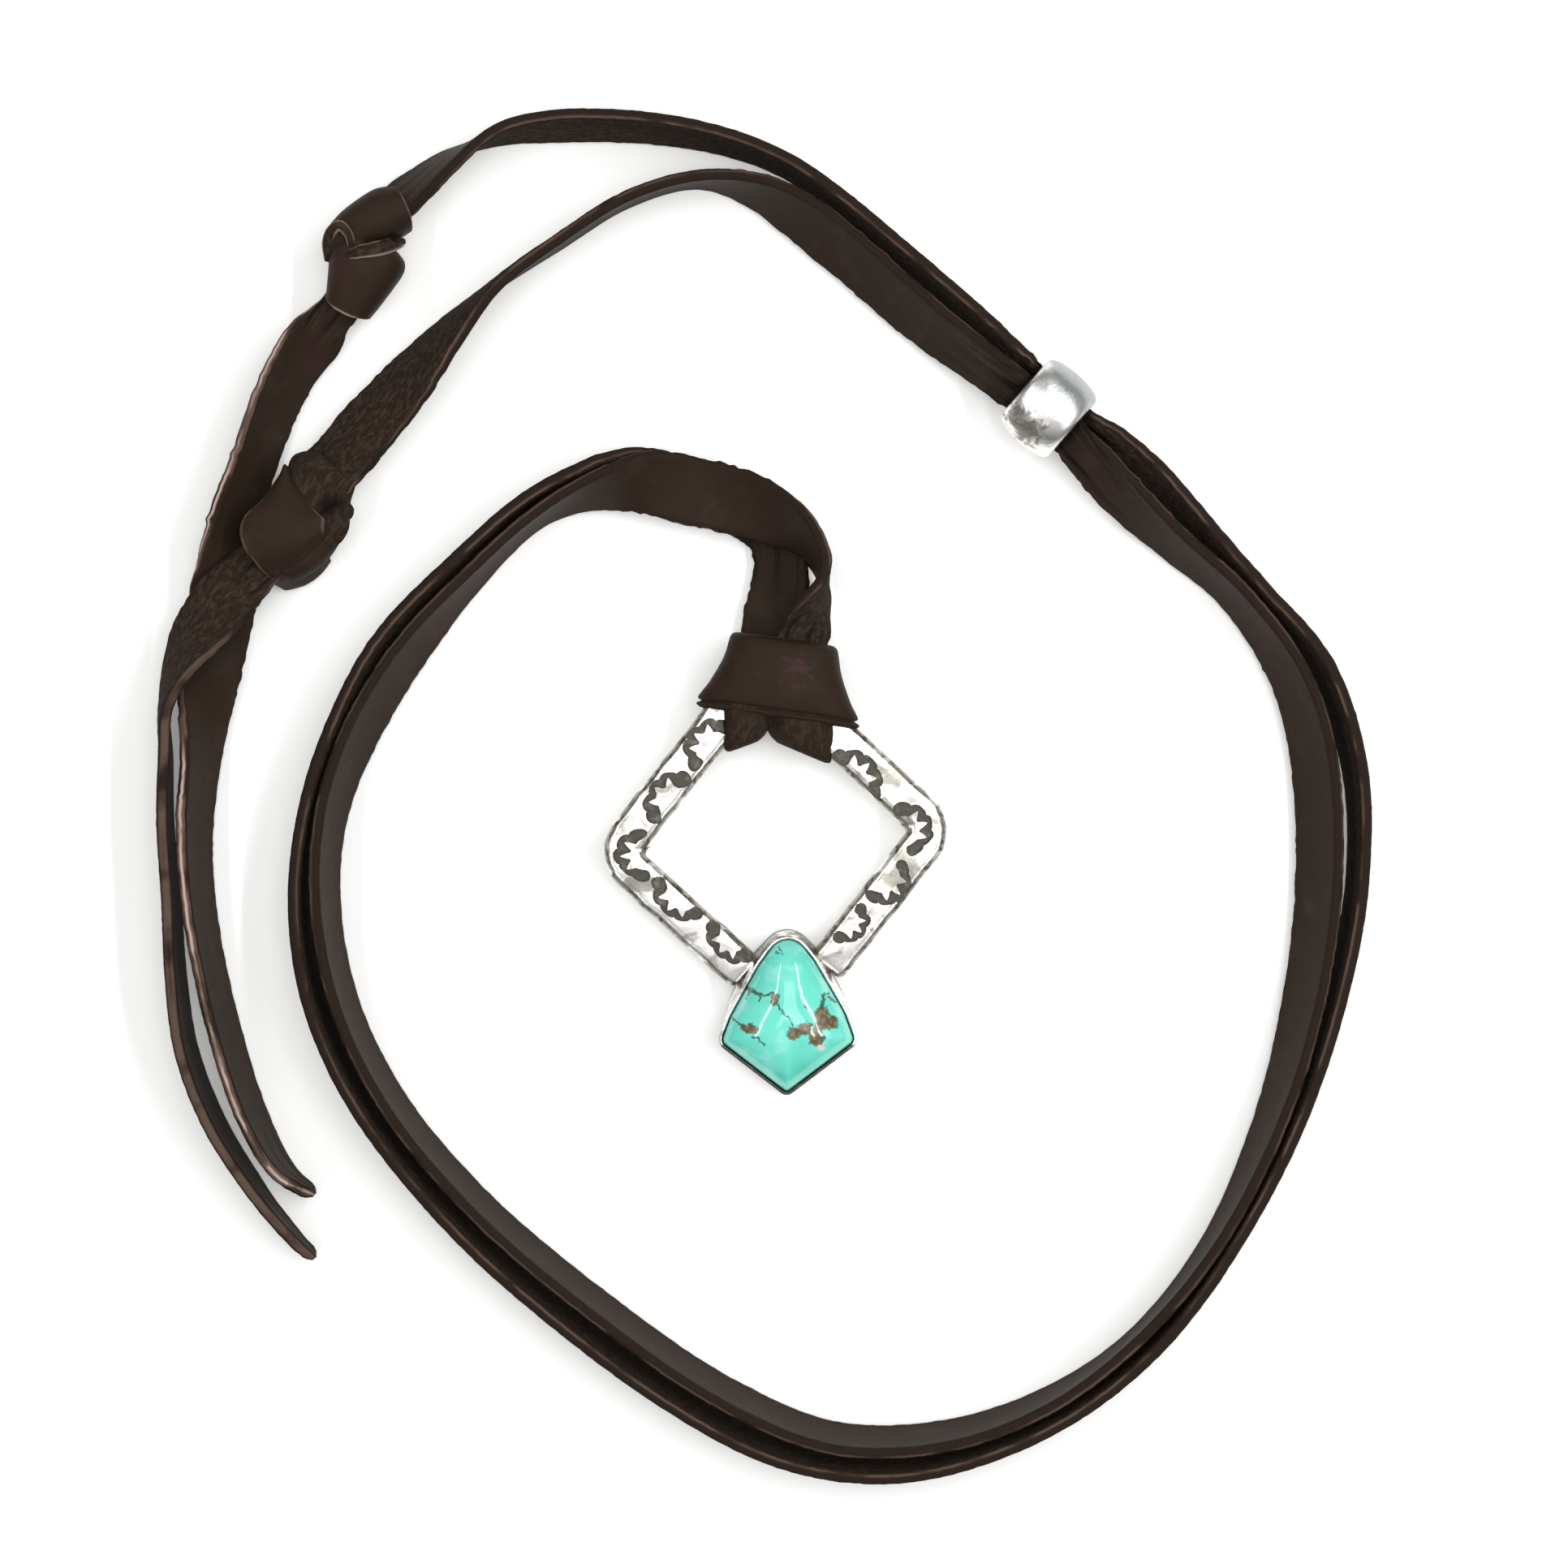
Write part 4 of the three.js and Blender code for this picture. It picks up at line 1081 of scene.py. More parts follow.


# top is the flesh value of its upper face, line the brightness of the highlight painted along its upper edges
def makeBand(name, rows, seed, top, line, cuts=24, crown=0.9 * mm, thick=lace["thick"]):
    samples = curveThrough([Vector(row[:3]) for row in rows], band["step"])
    skin, travelled = Skin(2 * cuts + 4), 0.0
    for n, (t, middle) in enumerate(samples):
        along = runAt(samples, n)
        travelled += (middle - samples[max(n - 1, 0)][1]).length
        flat = Vector((along.x, along.y, 0)).normalized()
        side = Vector((-flat.y, flat.x, 0))
        normal = along.cross(side)
        normal = normal if normal.z > 0 else -normal
        left, right = smoothed([row[3] for row in rows], t), smoothed([row[4] for row in rows], t)

        def addPoint(a, height, flesh, rim, frayAndShine):
            point = middle + side * a + normal * height
            point.z = max(point.z, band["lowest"])
            skin.add(point, flesh, rim, frayAndShine, (travelled, a))

        for face, flesh in ((1, top), (-1, 1.0 - top)):
            for k in range(cuts + 1):
                share = 1 - k / cuts if face > 0 else k / cuts
                a = -right + (left + right) * share
                drop = crown * (2 * share - 1) ** 2
                grit = wobble(n * 0.4, a / mm, seed) * (band["grit"] + top * band["fleshGrit"])
                atEdge = k in (0, cuts)
                height = face * (thick / 2) - drop + grit
                addPoint(a, height, flesh, 0.6 if atEdge else 0.0, line if atEdge and face > 0 else 0.0)
            a = (-right if face > 0 else left) - math.copysign(band["edgeOut"], face)
            addPoint(a, -crown, 0.5, 1.0, line)
    made = skin.piece(name)
    weld(made)
    return finishLeather(made)


# thin bands; line is the brightness of the painted highlight along their upper edges
thin = {"top": 0.8, "line": 1.7, "cuts": 8, "crown": 0.25 * mm, "thick": 0.9 * mm}
knotBBand = makeBand("knotBBand", knotBBandRows, 65.0, 0.0, 1.15)
knotBFold = makeBand("knotBFold", knotBFoldRows, 68.0, 0.9, 0.0, 12)
knotAFold = makeBand("knotAFold", knotAFoldRows, 71.0, **thin)
knotAHook = makeBand("knotAHook", knotAHookRows, 74.0, **thin)
print("knot bands laid")

# silver pendant: built flat on its back, then tipped up about its foot
pendantTilt = {"degrees": 4.2, "pivot": -25.5 * mm}

square = {
    "halfTall": 20.05 * mm,
    "halfWide": 18.65 * mm,
    "turn": 4.8,
    "y": 4.5 * mm,
    "bar": 4.6 * mm,
    "thick": 2.6 * mm,
    "cornerRound": 5 * mm,
    "innerRound": 0.5 * mm,
    "cornerNear": 0.5 * mm,
    "innerNear": 0.3 * mm,
    "sideLong": 5 * mm,
    "reach": 20.8 * mm,
    "softEdge": 1 * mm,
    "sharp": math.radians(50),
    "wavy": 0.16 * mm,
    "wavyCuts": 9,
    # faces steeper than this take the painted side shade
    "sideShadeUnder": 0.84,
}

# the setting's kite, in millimetres: corner of the cup's foot, the same corner of its rim, rounding
kiteCorners = [
    (1.35, -4.6, 1.35, -4.4, 3.0),
    (-2.9, -9.0, -2.3, -9.5, 6.0),
    (-5.0, -13.0, -5.6, -15.5, 8.0),
    (-6.4, -18.9, -6.8, -18.7, 1.3),
    (1.3, -25.2, 1.3, -25.0, 1.0),
    (9.5, -18.9, 9.7, -18.6, 1.3),
    (7.7, -13.0, 8.35, -14.9, 8.0),
    (5.5, -8.8, 4.85, -8.9, 6.0),
]
cup = {
    "high": 4.2 * mm,
    "wall": 0.36 * mm,
    "slant": 0.05 * mm,
    "plate": 0.8 * mm,
    "cut": 0.8 * mm,
    "footTop": 0.9 * mm,
    "rimBottom": 3.8 * mm,
    "softEdge": 0.12 * mm,
    "cornerCuts": 8,
    "middle": (1.4 * mm, -16.4 * mm),
    # shade is painted on the rim below the first y, and side shade on the steep walls above the second
    "rimShadeBelow": -18.9 * mm,
    "wallShadeAbove": -9.5 * mm,
}
# the setting is built this far up, so that only a new outline lies on the floor
lift = 1 * mm


# selects what is wanted and leaves edit mode on
def pick(made, kind, wanted):
    bpy.ops.mesh.select_mode(type=kind)
    bpy.ops.mesh.select_all(action="DESELECT")
    leaveEdit()
    parts = {"VERT": made.data.vertices, "EDGE": made.data.edges, "FACE": made.data.polygons}[kind]
    for part in parts:
        part.select = wanted(part)
    enterEdit()


def edgeEnds(made, edge):
    return [made.data.vertices[i].co for i in edge.vertices]


def edgeHeight(made, edge):
    return sum(end.z for end in edgeEnds(made, edge)) / 2


def edgeLong(made, edge):
    a, b = edgeEnds(made, edge)
    return (a - b).length


def moveAll(height):
    selectAll()
    bpy.ops.transform.translate(value=(0, 0, height))


def extrudeUp(height):
    bpy.ops.mesh.extrude_region_move(TRANSFORM_OT_translate={"value": (0, 0, height)})


def roundCorners(made, offset, segments, wanted):
    pick(made, "VERT", wanted)
    bpy.ops.mesh.bevel(offset=offset, segments=segments, affect="VERTICES")


def applyModifier(made, kind, **settings):
    onlySelect(made)
    modifier = made.modifiers.new(kind.lower(), kind)
    for key, value in settings.items():
        setattr(modifier, key, value)
    bpy.ops.object.modifier_apply(modifier=modifier.name)


def softenEdges(made, width, segments, **settings):
    sharp = {"limit_method": "ANGLE", "angle_limit": square["sharp"]}
    applyModifier(made, "BEVEL", width=width, segments=segments, **sharp, **settings)


# silver, oxide that also serves as painted shade, and silver with painted side shade, where chosen gives the number of
# a face's finish
def silverFaces(made, chosen):
    for material in (silver, oxideAndShade, shadedSideSilver):
        made.data.materials.append(material)
    for face in made.data.polygons:
        face.material_index = chosen(face)


def turnAndPlace(x, y, z, degrees):
    return Matrix.Translation((x, y, z)) @ Matrix.Rotation(math.radians(degrees), 4, "Z")


def shadeByAngle(made, degrees):
    onlySelect(made)
    bpy.ops.object.shade_smooth_by_angle(angle=math.radians(degrees))


def makeBars():
    s = square
    tall, wide = s["halfTall"], s["halfWide"]
    # the bars' middle line touches this circle; their outer and inner corners lie further out and in
    inradius = tall * wide / math.hypot(tall, wide)
    grow, shrink = 1 + s["bar"] / 2 / inradius, 1 - s["bar"] / 2 / inradius
    bpy.ops.mesh.primitive_circle_add(vertices=4, radius=1, fill_type="NGON", location=(0, 0, 0))
    bars = bpy.context.object
    bars.name = "silverBars"
    edit()
    bpy.ops.transform.resize(value=(wide * grow, tall * grow, 1), center_override=(0, 0, 0))
    bpy.ops.mesh.select_mode(type="FACE")
    bpy.ops.mesh.inset(thickness=s["bar"])
    bpy.ops.mesh.delete(type="FACE")
    for side in (1, -1):
        run = Vector((-side * wide, -tall, 0)).normalized()
        end = Vector((side * wide, 0, 0)) + run * s["reach"]
        pick(bars, "FACE", lambda face: face.center.y < 0 and face.center.x * side > 0)
        bpy.ops.mesh.split()
        bpy.ops.mesh.bisect(plane_co=end, plane_no=run, clear_outer=True)
    selectAll()
    bpy.ops.mesh.remove_doubles(threshold=samePoint)
    bpy.ops.mesh.dissolve_faces()

    def isOuter(vertex):
        x, y = vertex.co.xy
        return abs(x) > wide * grow - s["cornerNear"] or y > tall * grow - s["cornerNear"]

    def isInner(vertex):
        x, y = vertex.co.xy
        near = s["innerNear"]
        atSide = abs(abs(x) - wide * shrink) < near and abs(y) < near
        return atSide or (abs(y - tall * shrink) < near and abs(x) < near)

    roundCorners(bars, s["cornerRound"], 12, isOuter)
    roundCorners(bars, s["innerRound"], 4, isInner)
    pick(bars, "EDGE", lambda edge: edgeLong(bars, edge) > s["sideLong"])
    bpy.ops.mesh.subdivide(number_cuts=s["wavyCuts"])
    selectAll()
    bpy.ops.transform.vertex_random(offset=s["wavy"], seed=4)
    bpy.ops.transform.resize(value=(1, 1, 0), center_override=(0, 0, 0))
    bpy.ops.mesh.select_mode(type="FACE")
    selectAll()
    extrudeUp(s["thick"])
    faceOut()
    bars.data.transform(turnAndPlace(0, s["y"], 0, s["turn"]))
    softenEdges(bars, s["softEdge"], 6, use_clamp_overlap=False)
    # the sides take the painted side shade
    silverFaces(bars, lambda face: 2 if abs(face.normal.z) < s["sideShadeUnder"] else 0)
    return bars


stamp = {
    "chord": 7 * mm,
    "back": 3.7 * mm,
    "band": 0.8 * mm,
    "sweep": 90,
    "lobes": 5,
    "cuts": 12,
    "deep": 0.5 * mm,
    "above": 1 * mm,
    # shares of the band: its plain and swollen half, the scallops of its back, the teeth of its front
    "plain": 0.92,
    "swell": 0.3,
    "uneven": 0.45,
    "lobeLow": 0.62,
    "lobeRise": 0.42,
    "front": 1.05,
    "toothDeep": 1.25,
    "toothSharp": 2.8,
    "toothEnds": (0.2, 0.8),
    "places": [
        # x, y, turn, length, depth
        (-8.4, 16.3, 142, 1.04, 1.0),
        (-13.0, 10.1, 142, 1.06, 1.0),
        (-16.6, 2.9, 184, 0.94, 1.1),
        (-11.8, -2.7, 230, 1.06, 0.85),
        (-5.8, -7.6, 228, 0.98, 0.85),
        (10.0, 12.8, 44, 1.1, 0.95),
        (16.3, 6.3, 18, 0.95, 1.1),
        (13.6, -0.8, 314, 0.95, 1.0),
        (9.2, -5.4, 322, 0.8, 0.8),
    ],
}


# one crescent, its scalloped back towards +X, drawn anticlockwise from its lower end
def crescentOutline(seed):
    s = stamp
    steps = s["lobes"] * s["cuts"]
    a, b = s["back"] - s["band"], s["chord"] / 2 - s["band"]
    backEdge, frontEdge = [], []
    for i in range(steps + 1):
        share = i / steps
        angle = math.radians(s["sweep"]) * (2 * share - 1)
        middle = Vector((a * math.cos(angle), b * math.sin(angle)))
        out = Vector((b * math.cos(angle), a * math.sin(angle))).normalized()
        # the band swells and closes towards its ends, and no two stamps are cut alike
        end = abs(2 * share - 1)
        half = s["band"] * (s["plain"] + s["swell"] * end**3) * max(1 - end**10, 0) ** 0.5
        half = half * (1 + s["uneven"] * noise.noise(Vector((share * 7, seed, 0.5))))
        lobe = s["lobeLow"] + s["lobeRise"] * abs(math.sin(math.pi * s["lobes"] * share)) ** 0.6
        place = math.modf(s["lobes"] * share)[0]
        toothed = s["toothEnds"][0] < share < s["toothEnds"][1]
        tooth = max(0.0, 1 - abs(place - 0.5) * s["toothSharp"]) if toothed else 0.0
        backEdge.append(middle + out * half * lobe)
        frontEdge.append(middle - out * half * (s["front"] - s["toothDeep"] * tooth))
    points = backEdge + frontEdge[-2:0:-1]
    return [(point.x - s["back"] / 2, point.y) for point in points]


def makeStampCutter(place):
    x, y, turn, long, deep = place
    outline = crescentOutline(x * 1.7 + y)
    bpy.ops.mesh.primitive_circle_add(vertices=len(outline), radius=1, fill_type="NGON")
    cutter = bpy.context.object
    for vertex, (px, py) in zip(cutter.data.vertices, outline):
        vertex.co = (px * deep, py * long, 0)
    edit()
    extrudeUp(stamp["deep"] + stamp["above"])
    faceOut()
    cutter.data.transform(turnAndPlace(x * mm, y * mm, square["thick"] - stamp["deep"], turn))
    cutter.data.materials.append(oxideAndShade)
    return cutter


def onFloor(face):
    return abs(face.center.z) < sameHeight


# one filled outline of the kite; share runs from the cup's foot to its rim
def addKite(made, share, z, inset=0.0):
    corners = []
    for footX, footY, rimX, rimY, around in kiteCorners:
        corners.append(Vector((footX + (rimX - footX) * share, footY + (rimY - footY) * share, 0)) * mm)
    bpy.ops.mesh.select_all(action="DESELECT")
    bpy.ops.mesh.primitive_circle_add(vertices=len(corners), radius=1, fill_type="NGON", location=(0, 0, 0))
    leaveEdit()
    fresh = [v for v in made.data.vertices if v.select]
    for vertex, corner in zip(fresh, corners):
        vertex.co = corner
    enterEdit()
    for i, corner in enumerate(corners):
        into = (corner - corners[i - 1]).normalized()
        onward = (corners[(i + 1) % len(corners)] - corner).normalized()
        tangent = kiteCorners[i][4] * mm * math.tan(into.angle(onward) / 2)
        roundCorners(made, tangent, cup["cornerCuts"], lambda v: (v.co - corner).length < samePoint)
    pick(made, "FACE", onFloor)
    if inset:
        bpy.ops.mesh.inset(thickness=inset)
        pick(made, "FACE", lambda face: onFloor(face) and len(face.vertices) == 4)
        bpy.ops.mesh.delete(type="FACE")
        pick(made, "FACE", onFloor)
    bpy.ops.transform.translate(value=(0, 0, z))


# a wall between two outlines of the kite
def addWall(made, low, high):
    pick(made, "EDGE", lambda e: any(abs(edgeHeight(made, e) - z) < sameHeight for z in (low, high)))
    bpy.ops.mesh.bridge_edge_loops()


def makeCup():
    c = cup
    made = newObject("bezelCup")
    onlySelect(made)
    edit()
    addKite(made, 1.0, c["high"] + lift)
    addKite(made, 0.0, lift)
    addWall(made, lift, c["high"] + lift)
    selectAll()
    bpy.ops.mesh.bisect(plane_co=(0, 0, lift + c["cut"]), plane_no=(0, 0, 1))
    pick(made, "FACE", lambda face: face.center.z > c["high"] + lift - samePoint)
    bpy.ops.mesh.inset(thickness=c["wall"])
    bpy.ops.mesh.inset(thickness=c["slant"], depth=c["plate"] - c["high"])
    moveAll(-lift)
    closeUp()
    softenEdges(made, c["softEdge"], 3)

    def chosen(face):
        y, z = face.center.yz
        level = abs(face.normal.z)
        inward = face.normal.dot(Vector((*c["middle"], z)) - face.center) > 0
        # painted shade on the rim's lower sides, the foot and the inward walls; painted side shade on steep walls near
        # the top
        shadedRim = y < c["rimShadeBelow"] and z > c["rimBottom"]
        if shadedRim or z < c["footTop"] or (level < 0.3 and inward):
            return 1
        return 2 if y > c["wallShadeAbove"] and level < 0.9 else 0

    silverFaces(made, chosen)
    return made


def tipUp(made):
    there = Matrix.Translation((0, pendantTilt["pivot"], 0))
    up = Matrix.Rotation(math.radians(pendantTilt["degrees"]), 4, "X")
    made.data.transform(there @ up @ there.inverted())


silver = silverFinish()
shadedSideSilver = sideShadeFinish()
oxideAndShade = oxideAndShadeFinish()

bars = makeBars()
for place in stamp["places"]:
    cutter = makeStampCutter(place)
    applyModifier(bars, "BOOLEAN", operation="DIFFERENCE", solver="EXACT", object=cutter,
                  material_mode="TRANSFER")
    bpy.data.objects.remove(cutter)
bezel = makeCup()
onlySelect(bars)
bezel.select_set(True)
bpy.ops.object.join()
pendantSilver = bpy.context.object
pendantSilver.name = "pendantSilver"
shadeByAngle(pendantSilver, 32)
tipUp(pendantSilver)
finishPiece(pendantSilver, "silver", [], "silver_frame")
print("silver pendant made", len(pendantSilver.data.polygons))

stone = {
    "inset": 0.5 * mm,
    "seat": 1 * mm,
    "girdle": 4.15 * mm,
    "rise": 3.5 * mm,
    "rings": 26,
    "sideLong": 0.9 * mm,
    "sideCuts": 6,
    "smoothAbove": 4.25 * mm,
    "smooth": 12,
}


def makeStone():
    s = stone
    made = newObject("turquoiseCabochon")
    onlySelect(made)
    edit()
    low, high = s["seat"] + lift, s["girdle"] + lift
    addKite(made, s["girdle"] / cup["high"], high, s["inset"])
    addKite(made, s["seat"] / cup["high"], low, s["inset"])
    addWall(made, low, high)
    moveAll(-lift)
    top = s["girdle"] - samePoint
    pick(made, "EDGE", lambda e: edgeHeight(made, e) > top and edgeLong(made, e) > s["sideLong"])
    bpy.ops.mesh.subdivide(number_cuts=s["sideCuts"])
    pick(made, "FACE", lambda face: face.center.z > top)
    middle = (*cup["middle"], s["girdle"])
    # the dome, ring by ring; each ring is the girdle's outline drawn in to its share of the reach
    reach, height = 1.0, 0.0
    for i in range(1, s["rings"] + 1):
        nextReach = math.cos(math.pi / 2 * i / (s["rings"] + 0.7))
        nextHeight = s["rise"] * (1 - nextReach**2.3) ** 0.64
        extrudeUp(nextHeight - height)
        bpy.ops.transform.resize(value=(nextReach / reach, nextReach / reach, 1), center_override=middle)
        reach, height = nextReach, nextHeight
    bpy.ops.mesh.merge(type="CENTER")
    pick(made, "VERT", lambda v: v.co.z > s["smoothAbove"])
    for _ in range(s["smooth"]):
        bpy.ops.mesh.vertices_smooth(factor=0.5)
    closeUp()
    shadeByAngle(made, 50)
    tipUp(made)
    return made


matrixSpots = [
    # x, y, half width, half height, turn in degrees, all in millimetres from the pendant's origin
    (-0.05, -13.7, 0.42, 0.7, -25),
    (-3.05, -17.15, 1.05, 0.5, -8),
    (2.15, -17.75, 0.7, 0.7, 0),
    (3.55, -17.2, 1.0, 0.75, 10),
    (4.7, -18.35, 0.9, 0.85, 0),
    (5.45, -15.65, 0.75, 1.1, 8),
    (6.35, -16.55, 0.85, 0.75, 0),
    (5.1, -16.9, 0.6, 0.6, 0),
]
ivorySpots = [
    (5.15, -19.35, 0.55, 0.35, -20),
    (4.3, -17.4, 0.2, 0.8, 12),
]
# ends of each vein and half its width, in millimetres
matrixVeins = [
    (-3.3, -12.6, -2.4, -13.0, 0.32),
    (-2.4, -13.0, -1.4, -13.4, 0.26),
    (-1.4, -13.4, -0.4, -13.1, 0.24),
    (-2.9, -12.9, -3.3, -13.7, 0.16),
    (-1.7, -13.4, -1.9, -14.0, 0.18),
    (0.0, -14.2, 0.4, -14.8, 0.16),
    (0.6, -14.9, 2.1, -16.8, 0.13),
    (-4.8, -16.25, -4.0, -16.75, 0.18),
    (-2.6, -18.1, -1.05, -19.1, 0.14),
    (5.6, -13.4, 5.3, -14.8, 0.32),
    (6.2, -13.5, 7.0, -14.3, 0.18),
    (5.5, -13.3, 6.1, -13.1, 0.18),
    (0.0, -8.4, 0.7, -8.7, 0.1),
    (0.45, -7.9, 0.65, -8.3, 0.13),
    (3.5, -14.5, 3.7, -14.65, 0.2),
]
turquoiseLook = {
    "body": colour(0.17, 0.8, 0.64),
    "pale": colour(0.33, 0.9, 0.78),
    "deep": colour(0.09, 0.59, 0.45),
    "brown": colour(0.105, 0.078, 0.034),
    "brownPale": colour(0.27, 0.205, 0.105),
    "vein": colour(0.04, 0.055, 0.035),
    "ivory": colour(0.8, 0.74, 0.6),
    "cloud": 3.2 * mm,
    "deepPatch": 6 * mm,
    "fine": 0.5 * mm,
    "ragged": 0.6 * mm,
    "shake": 1.4 * mm,
    "shakeSize": 0.9 * mm,
}


def turquoiseFinish():
    look = turquoiseLook
    f = Finish("turquoise")
    place = f.place()
    # a place that is shaken, for ragged outlines
    shake = f.cloud(place, look["shakeSize"], 6.0, 0.65, out="Color")
    offset = f.vectorMath("SUBTRACT", shake, (0.5, 0.5, 0.5))
    offset = f.add("ShaderNodeVectorMath", {"operation": "SCALE"}, {0: offset, "Scale": look["shake"]})
    moved = f.vectorMath("ADD", place, offset)
    x = f.add("ShaderNodeSeparateXYZ", None, {0: moved}, out="X")
    y = Wire(f, x.socket.node.outputs["Y"])

    # the greatest of the rows' fields, each 1 in its middle and 0 at its outline
    def spotField(rows):
        fields = []
        for sx, sy, wide, high, turn in rows:
            c, s = math.cos(math.radians(turn)), math.sin(math.radians(turn))
            u = ((x - sx * mm) * c + (y - sy * mm) * s) / (wide * mm)
            v = ((y - sy * mm) * c - (x - sx * mm) * s) / (high * mm)
            fields.append(1.0 - (u * u + v * v))
        return reduce(lambda one, other: one.maths("MAXIMUM", other), fields)

    def veinField(rows):
        fields = []
        for ax, ay, bx, by, wide in rows:
            run = Vector((bx - ax, by - ay)) * mm
            share = (((x - ax * mm) * run.x + (y - ay * mm) * run.y) / run.length_squared).clamped()
            across = x - ax * mm - share * run.x
            over = y - ay * mm - share * run.y
            fields.append(1.0 - (across * across + over * over).maths("SQRT") / (wide * mm))
        return reduce(lambda one, other: one.maths("MAXIMUM", other), fields)

    veins = veinField(matrixVeins)
    cloud = f.cloud(place, look["cloud"], 4.0, 0.55)
    fine = f.cloud(place, look["fine"], 4.0, 0.6)
    body = f.blend(cloud.rise(0.45, 0.68), look["body"], look["pale"])
    body = f.blend(f.cloud(place, look["deepPatch"], 3.0, 0.5).rise(0.5, 0.75) * 0.55, body, look["deep"])
    spots = spotField(matrixSpots) + (f.cloud(place, look["ragged"], 6.0, 0.72) - 0.5) * 3.2
    spotMask = spots.rise(0.0, 0.2)
    ring = spots.rise(-0.35, 0.0) * (1.0 - spotMask)
    brown = f.blend(fine.rise(0.42, 0.62), look["brown"], look["brownPale"])
    body = f.blend(ring * 0.8, body, look["vein"])
    body = f.blend(spotMask, body, brown)
    body = f.blend((spotField(ivorySpots) + (fine - 0.5) * 2.2).rise(0.1, 0.4), body, look["ivory"])
    veinMask = (veins + (fine - 0.5) * 1.2).rise(0.0, 0.5) * 0.85
    body = f.blend(veinMask, body, look["vein"])
    height = (1.0 - spotMask * 0.5) * (0.04 * mm) + cloud * (0.02 * mm)
    coat = {"Coat_Weight": 0.5, "Coat_Roughness": 0.04}
    rough = 0.12 + spotMask * 0.25
    return f.surface(Base_Color=body, Roughness=rough, Normal=f.bump(height, 0.15), **coat)


finishPiece(makeStone(), "turquoise", [turquoiseFinish()], "turquoise_stone")
print("stone cut")

# slide bead: a barrel spun from its profile
bead = {
    "outer": 5.15 * mm,
    "bore": 3.4 * mm,
    "rim": 3.8 * mm,
    "long": 7.3 * mm,
    "mouthOut": 0.12 * mm,
    "mouthIn": 0.05 * mm,
    "boreIn": 0.25 * mm,
    "boreShadeTo": 3.6 * mm,
    "profileSteps": 20,
    "round": 96,
}


def makeBead():
    b = bead
    half, mouth = b["long"] / 2, b["bore"] + b["mouthOut"]
    profile = [(b["bore"], 0, half - b["boreIn"]), (b["bore"], 0, 0), (b["bore"], 0, b["boreIn"] - half)]
    profile.append((mouth, 0, b["mouthIn"] - half))
    for i in range(b["profileSteps"] + 1):
        angle = math.pi * (i / b["profileSteps"] - 0.5)
        out = b["rim"] + (b["outer"] - b["rim"]) * math.cos(angle) ** 0.75
        profile.append((out, 0, half * math.sin(angle)))
    profile.append((mouth, 0, half - b["mouthIn"]))
    made = newObject("slideBeadBarrel", profile, [(i, (i + 1) % len(profile)) for i in range(len(profile))])
    onlySelect(made)
    edit()
    bpy.ops.mesh.spin(steps=b["round"], angle=2 * math.pi, center=(0, 0, 0), axis=(0, 0, 1))
    closeUp()
    shadeByAngle(made, 45)
    place = turnAndPlace(beadAt["x"] * mm, beadAt["y"] * mm, b["outer"], beadAt["heading"])
    made.data.transform(place @ Matrix.Rotation(math.radians(90), 4, "Y"))
    finishPiece(made, "silver", [wornSilverFinish(), oxideAndShade], "slide_bead")
    middle, axis = place.translation, place.to_3x3() @ Vector((1, 0, 0))
    # painted shade in the bore and round its mouths
    for face in made.data.polygons:
        out = face.center - middle
        face.material_index = 1 if (out - axis * out.dot(axis)).length < b["boreShadeTo"] else 0
    return made


beadPiece = makeBead()
print("bead spun")

# the bead runs on both strands and the hitch is their fold; each is named with one of them
withA = [knotASleeve, knotADome, knotAFold, knotAHook, beadPiece]
withB = [knotBCore, knotBBand, knotBFold, hitchBand, *hitchLegs]
for cord, line, long, farEnd, others in (
    (strandA, strandALine, strandALong, "knot", withA),
    (strandB, strandBLine, strandBLong, "knot", withB),
    (tailA, tailALine, tailALong, "bare", []),
    (tailB, tailBLine, tailBLong, "bare", []),
):
    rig.cord(cord, exit=line[0], length=long, diameter=lace["wide"], far_end=farEnd,
            stiffness="limp", lay="loose", path=line[::4] + [line[-1]], with_pieces=others)

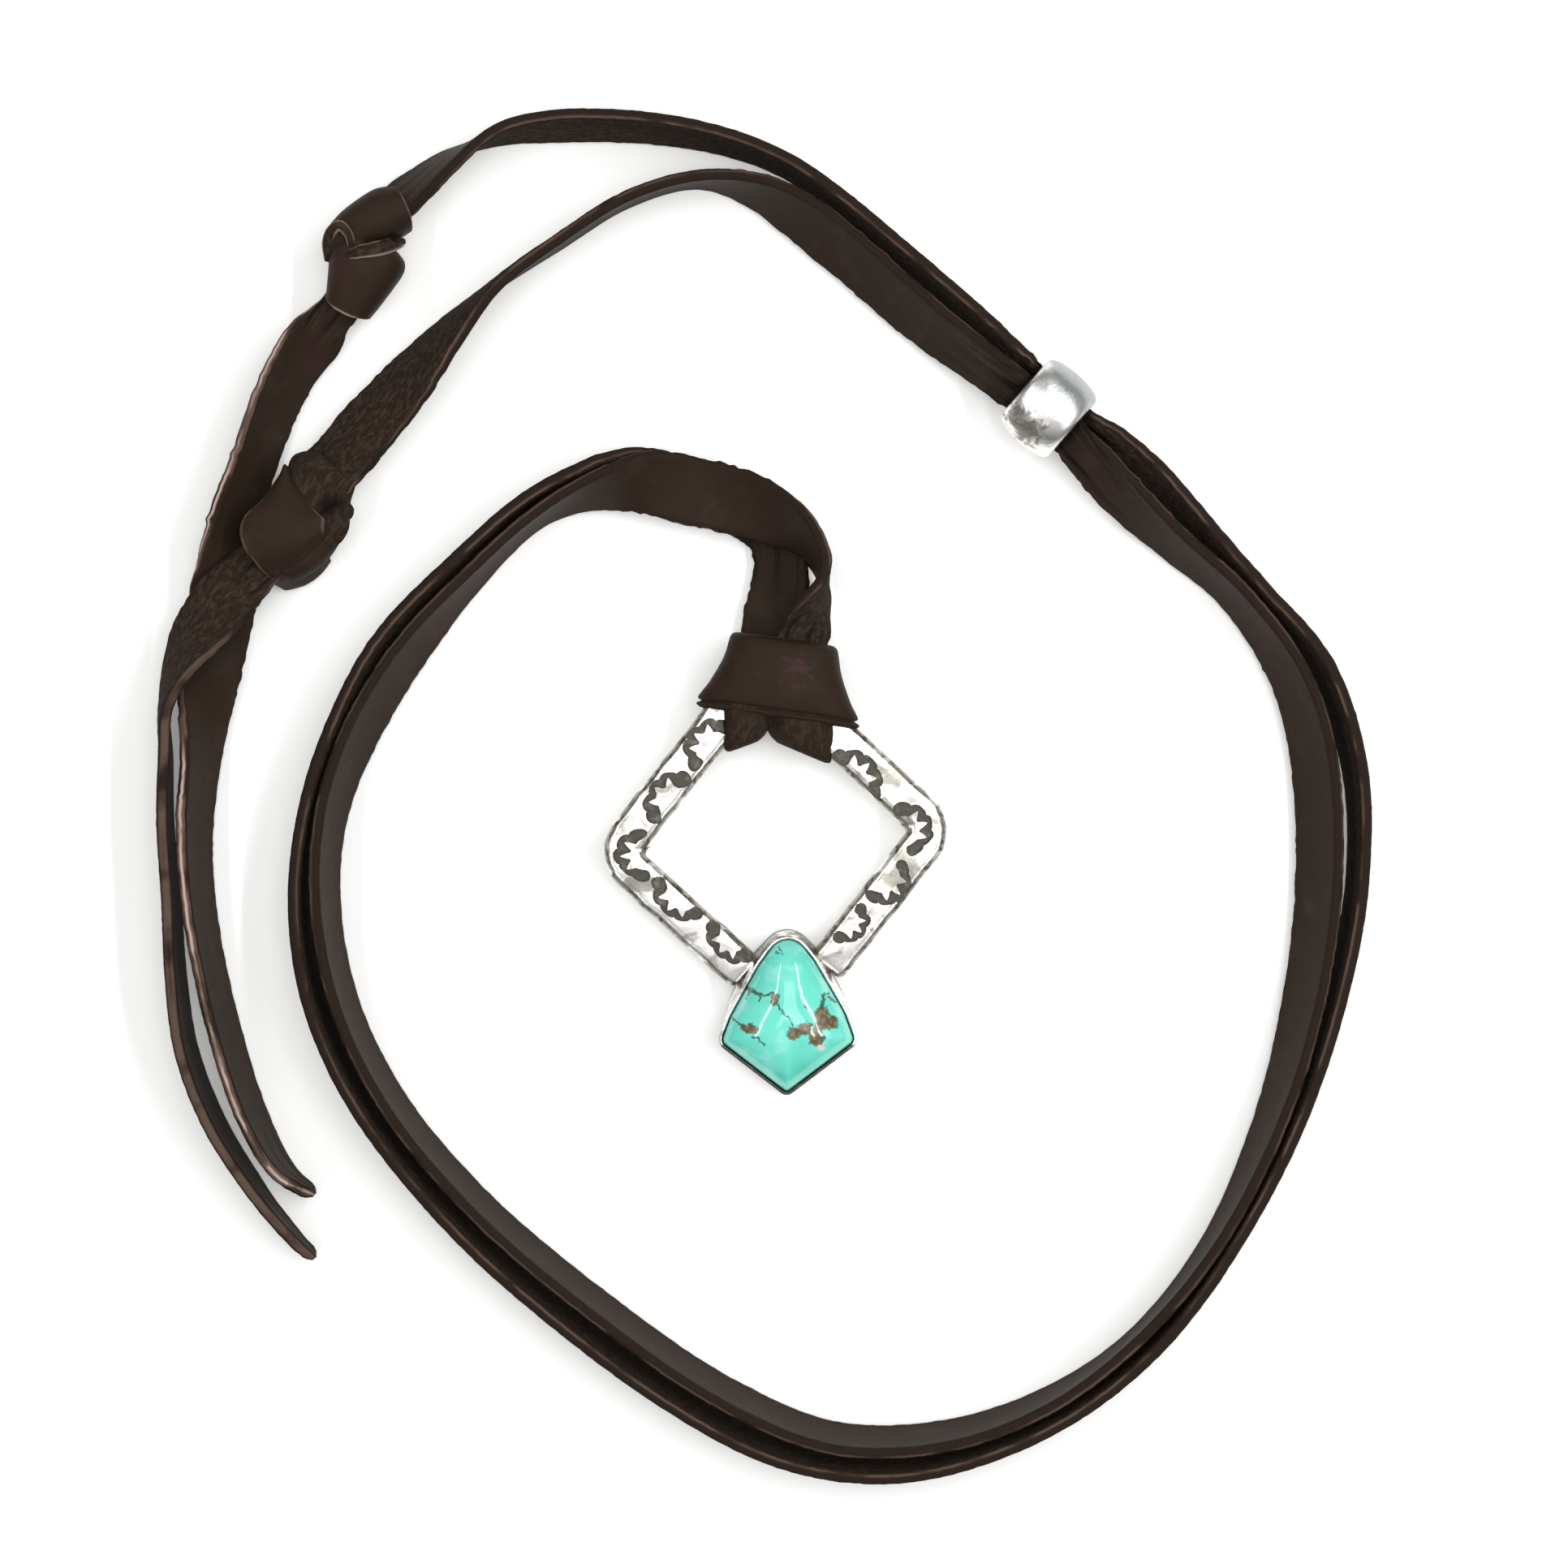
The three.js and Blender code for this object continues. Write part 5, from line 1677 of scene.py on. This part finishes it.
# table and light
tableLook = {
    "Base_Color": colour(0.93, 0.93, 0.925),
    "Roughness": 0.6,
    "Emission_Color": colour(1.0, 1.0, 0.975),
    "Emission_Strength": 0.2,
}
bpy.ops.mesh.primitive_plane_add(size=4, location=(0, 0, 0))
table = bpy.context.object
table.name = "tableTop"
table.data.materials.append(Finish("paleTable").surface(**tableLook))
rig.stage(table)

# each lamp is turned about Y to face the middle of the table
lamps = {
    "rightStrip": {"at": (0.37, 0.1, 0.52), "size": (0.03, 0.9), "power": 2.6},
    "leftStrip": {"at": (-0.33, 0.1, 0.52), "size": (0.022, 0.9), "power": 1.3},
    "overhead": {"at": (0.1, 0.11, 1.1), "size": (0.6, 0.6), "power": 3.0},
}
for name, lamp in lamps.items():
    bpy.ops.object.light_add(type="AREA", location=lamp["at"])
    light = bpy.context.object
    light.name = name
    light.data.shape = "RECTANGLE"
    light.data.size, light.data.size_y = lamp["size"]
    light.data.energy = lamp["power"]
    light.rotation_euler = (0, math.atan2(lamp["at"][0], lamp["at"][2]), 0)

# the room: bright overhead, dim towards the table's edge with a few darker corners
roomLook = {"dark": colour(0.05, 0.052, 0.055), "bright": colour(1.05, 1.05, 1.04), "strength": 0.42}


def lightRoom():
    world = bpy.data.worlds.new("paleRoom")
    bpy.context.scene.world = world
    room = Finish("paleRoom", world)
    toward = room.add("ShaderNodeTexCoord", out="Generated")
    height = room.add("ShaderNodeSeparateXYZ", None, {0: toward}, out="Z")
    corners = room.cloud(toward, 0.5, 1.0, 0.4)
    share = (height.rise(0.15, 0.9) * 0.75 + corners.rise(0.42, 0.58) * 0.35).clamped()
    glow = room.blend(share, roomLook["dark"], roomLook["bright"])
    sky = room.add("ShaderNodeBackground", None, {"Color": glow, "Strength": roomLook["strength"]})
    room.add("ShaderNodeOutputWorld", None, {"Surface": sky}, out=None)


lightRoom()
bpy.context.scene.view_settings.view_transform = "Standard"
print("table and light set")

low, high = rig.bounds()
with open("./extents.json", "w") as file:
    json.dump({"cad": [list(cadLow), list(cadHigh)], "visual": [list(low), list(high)]}, file)
print("sizes kept")
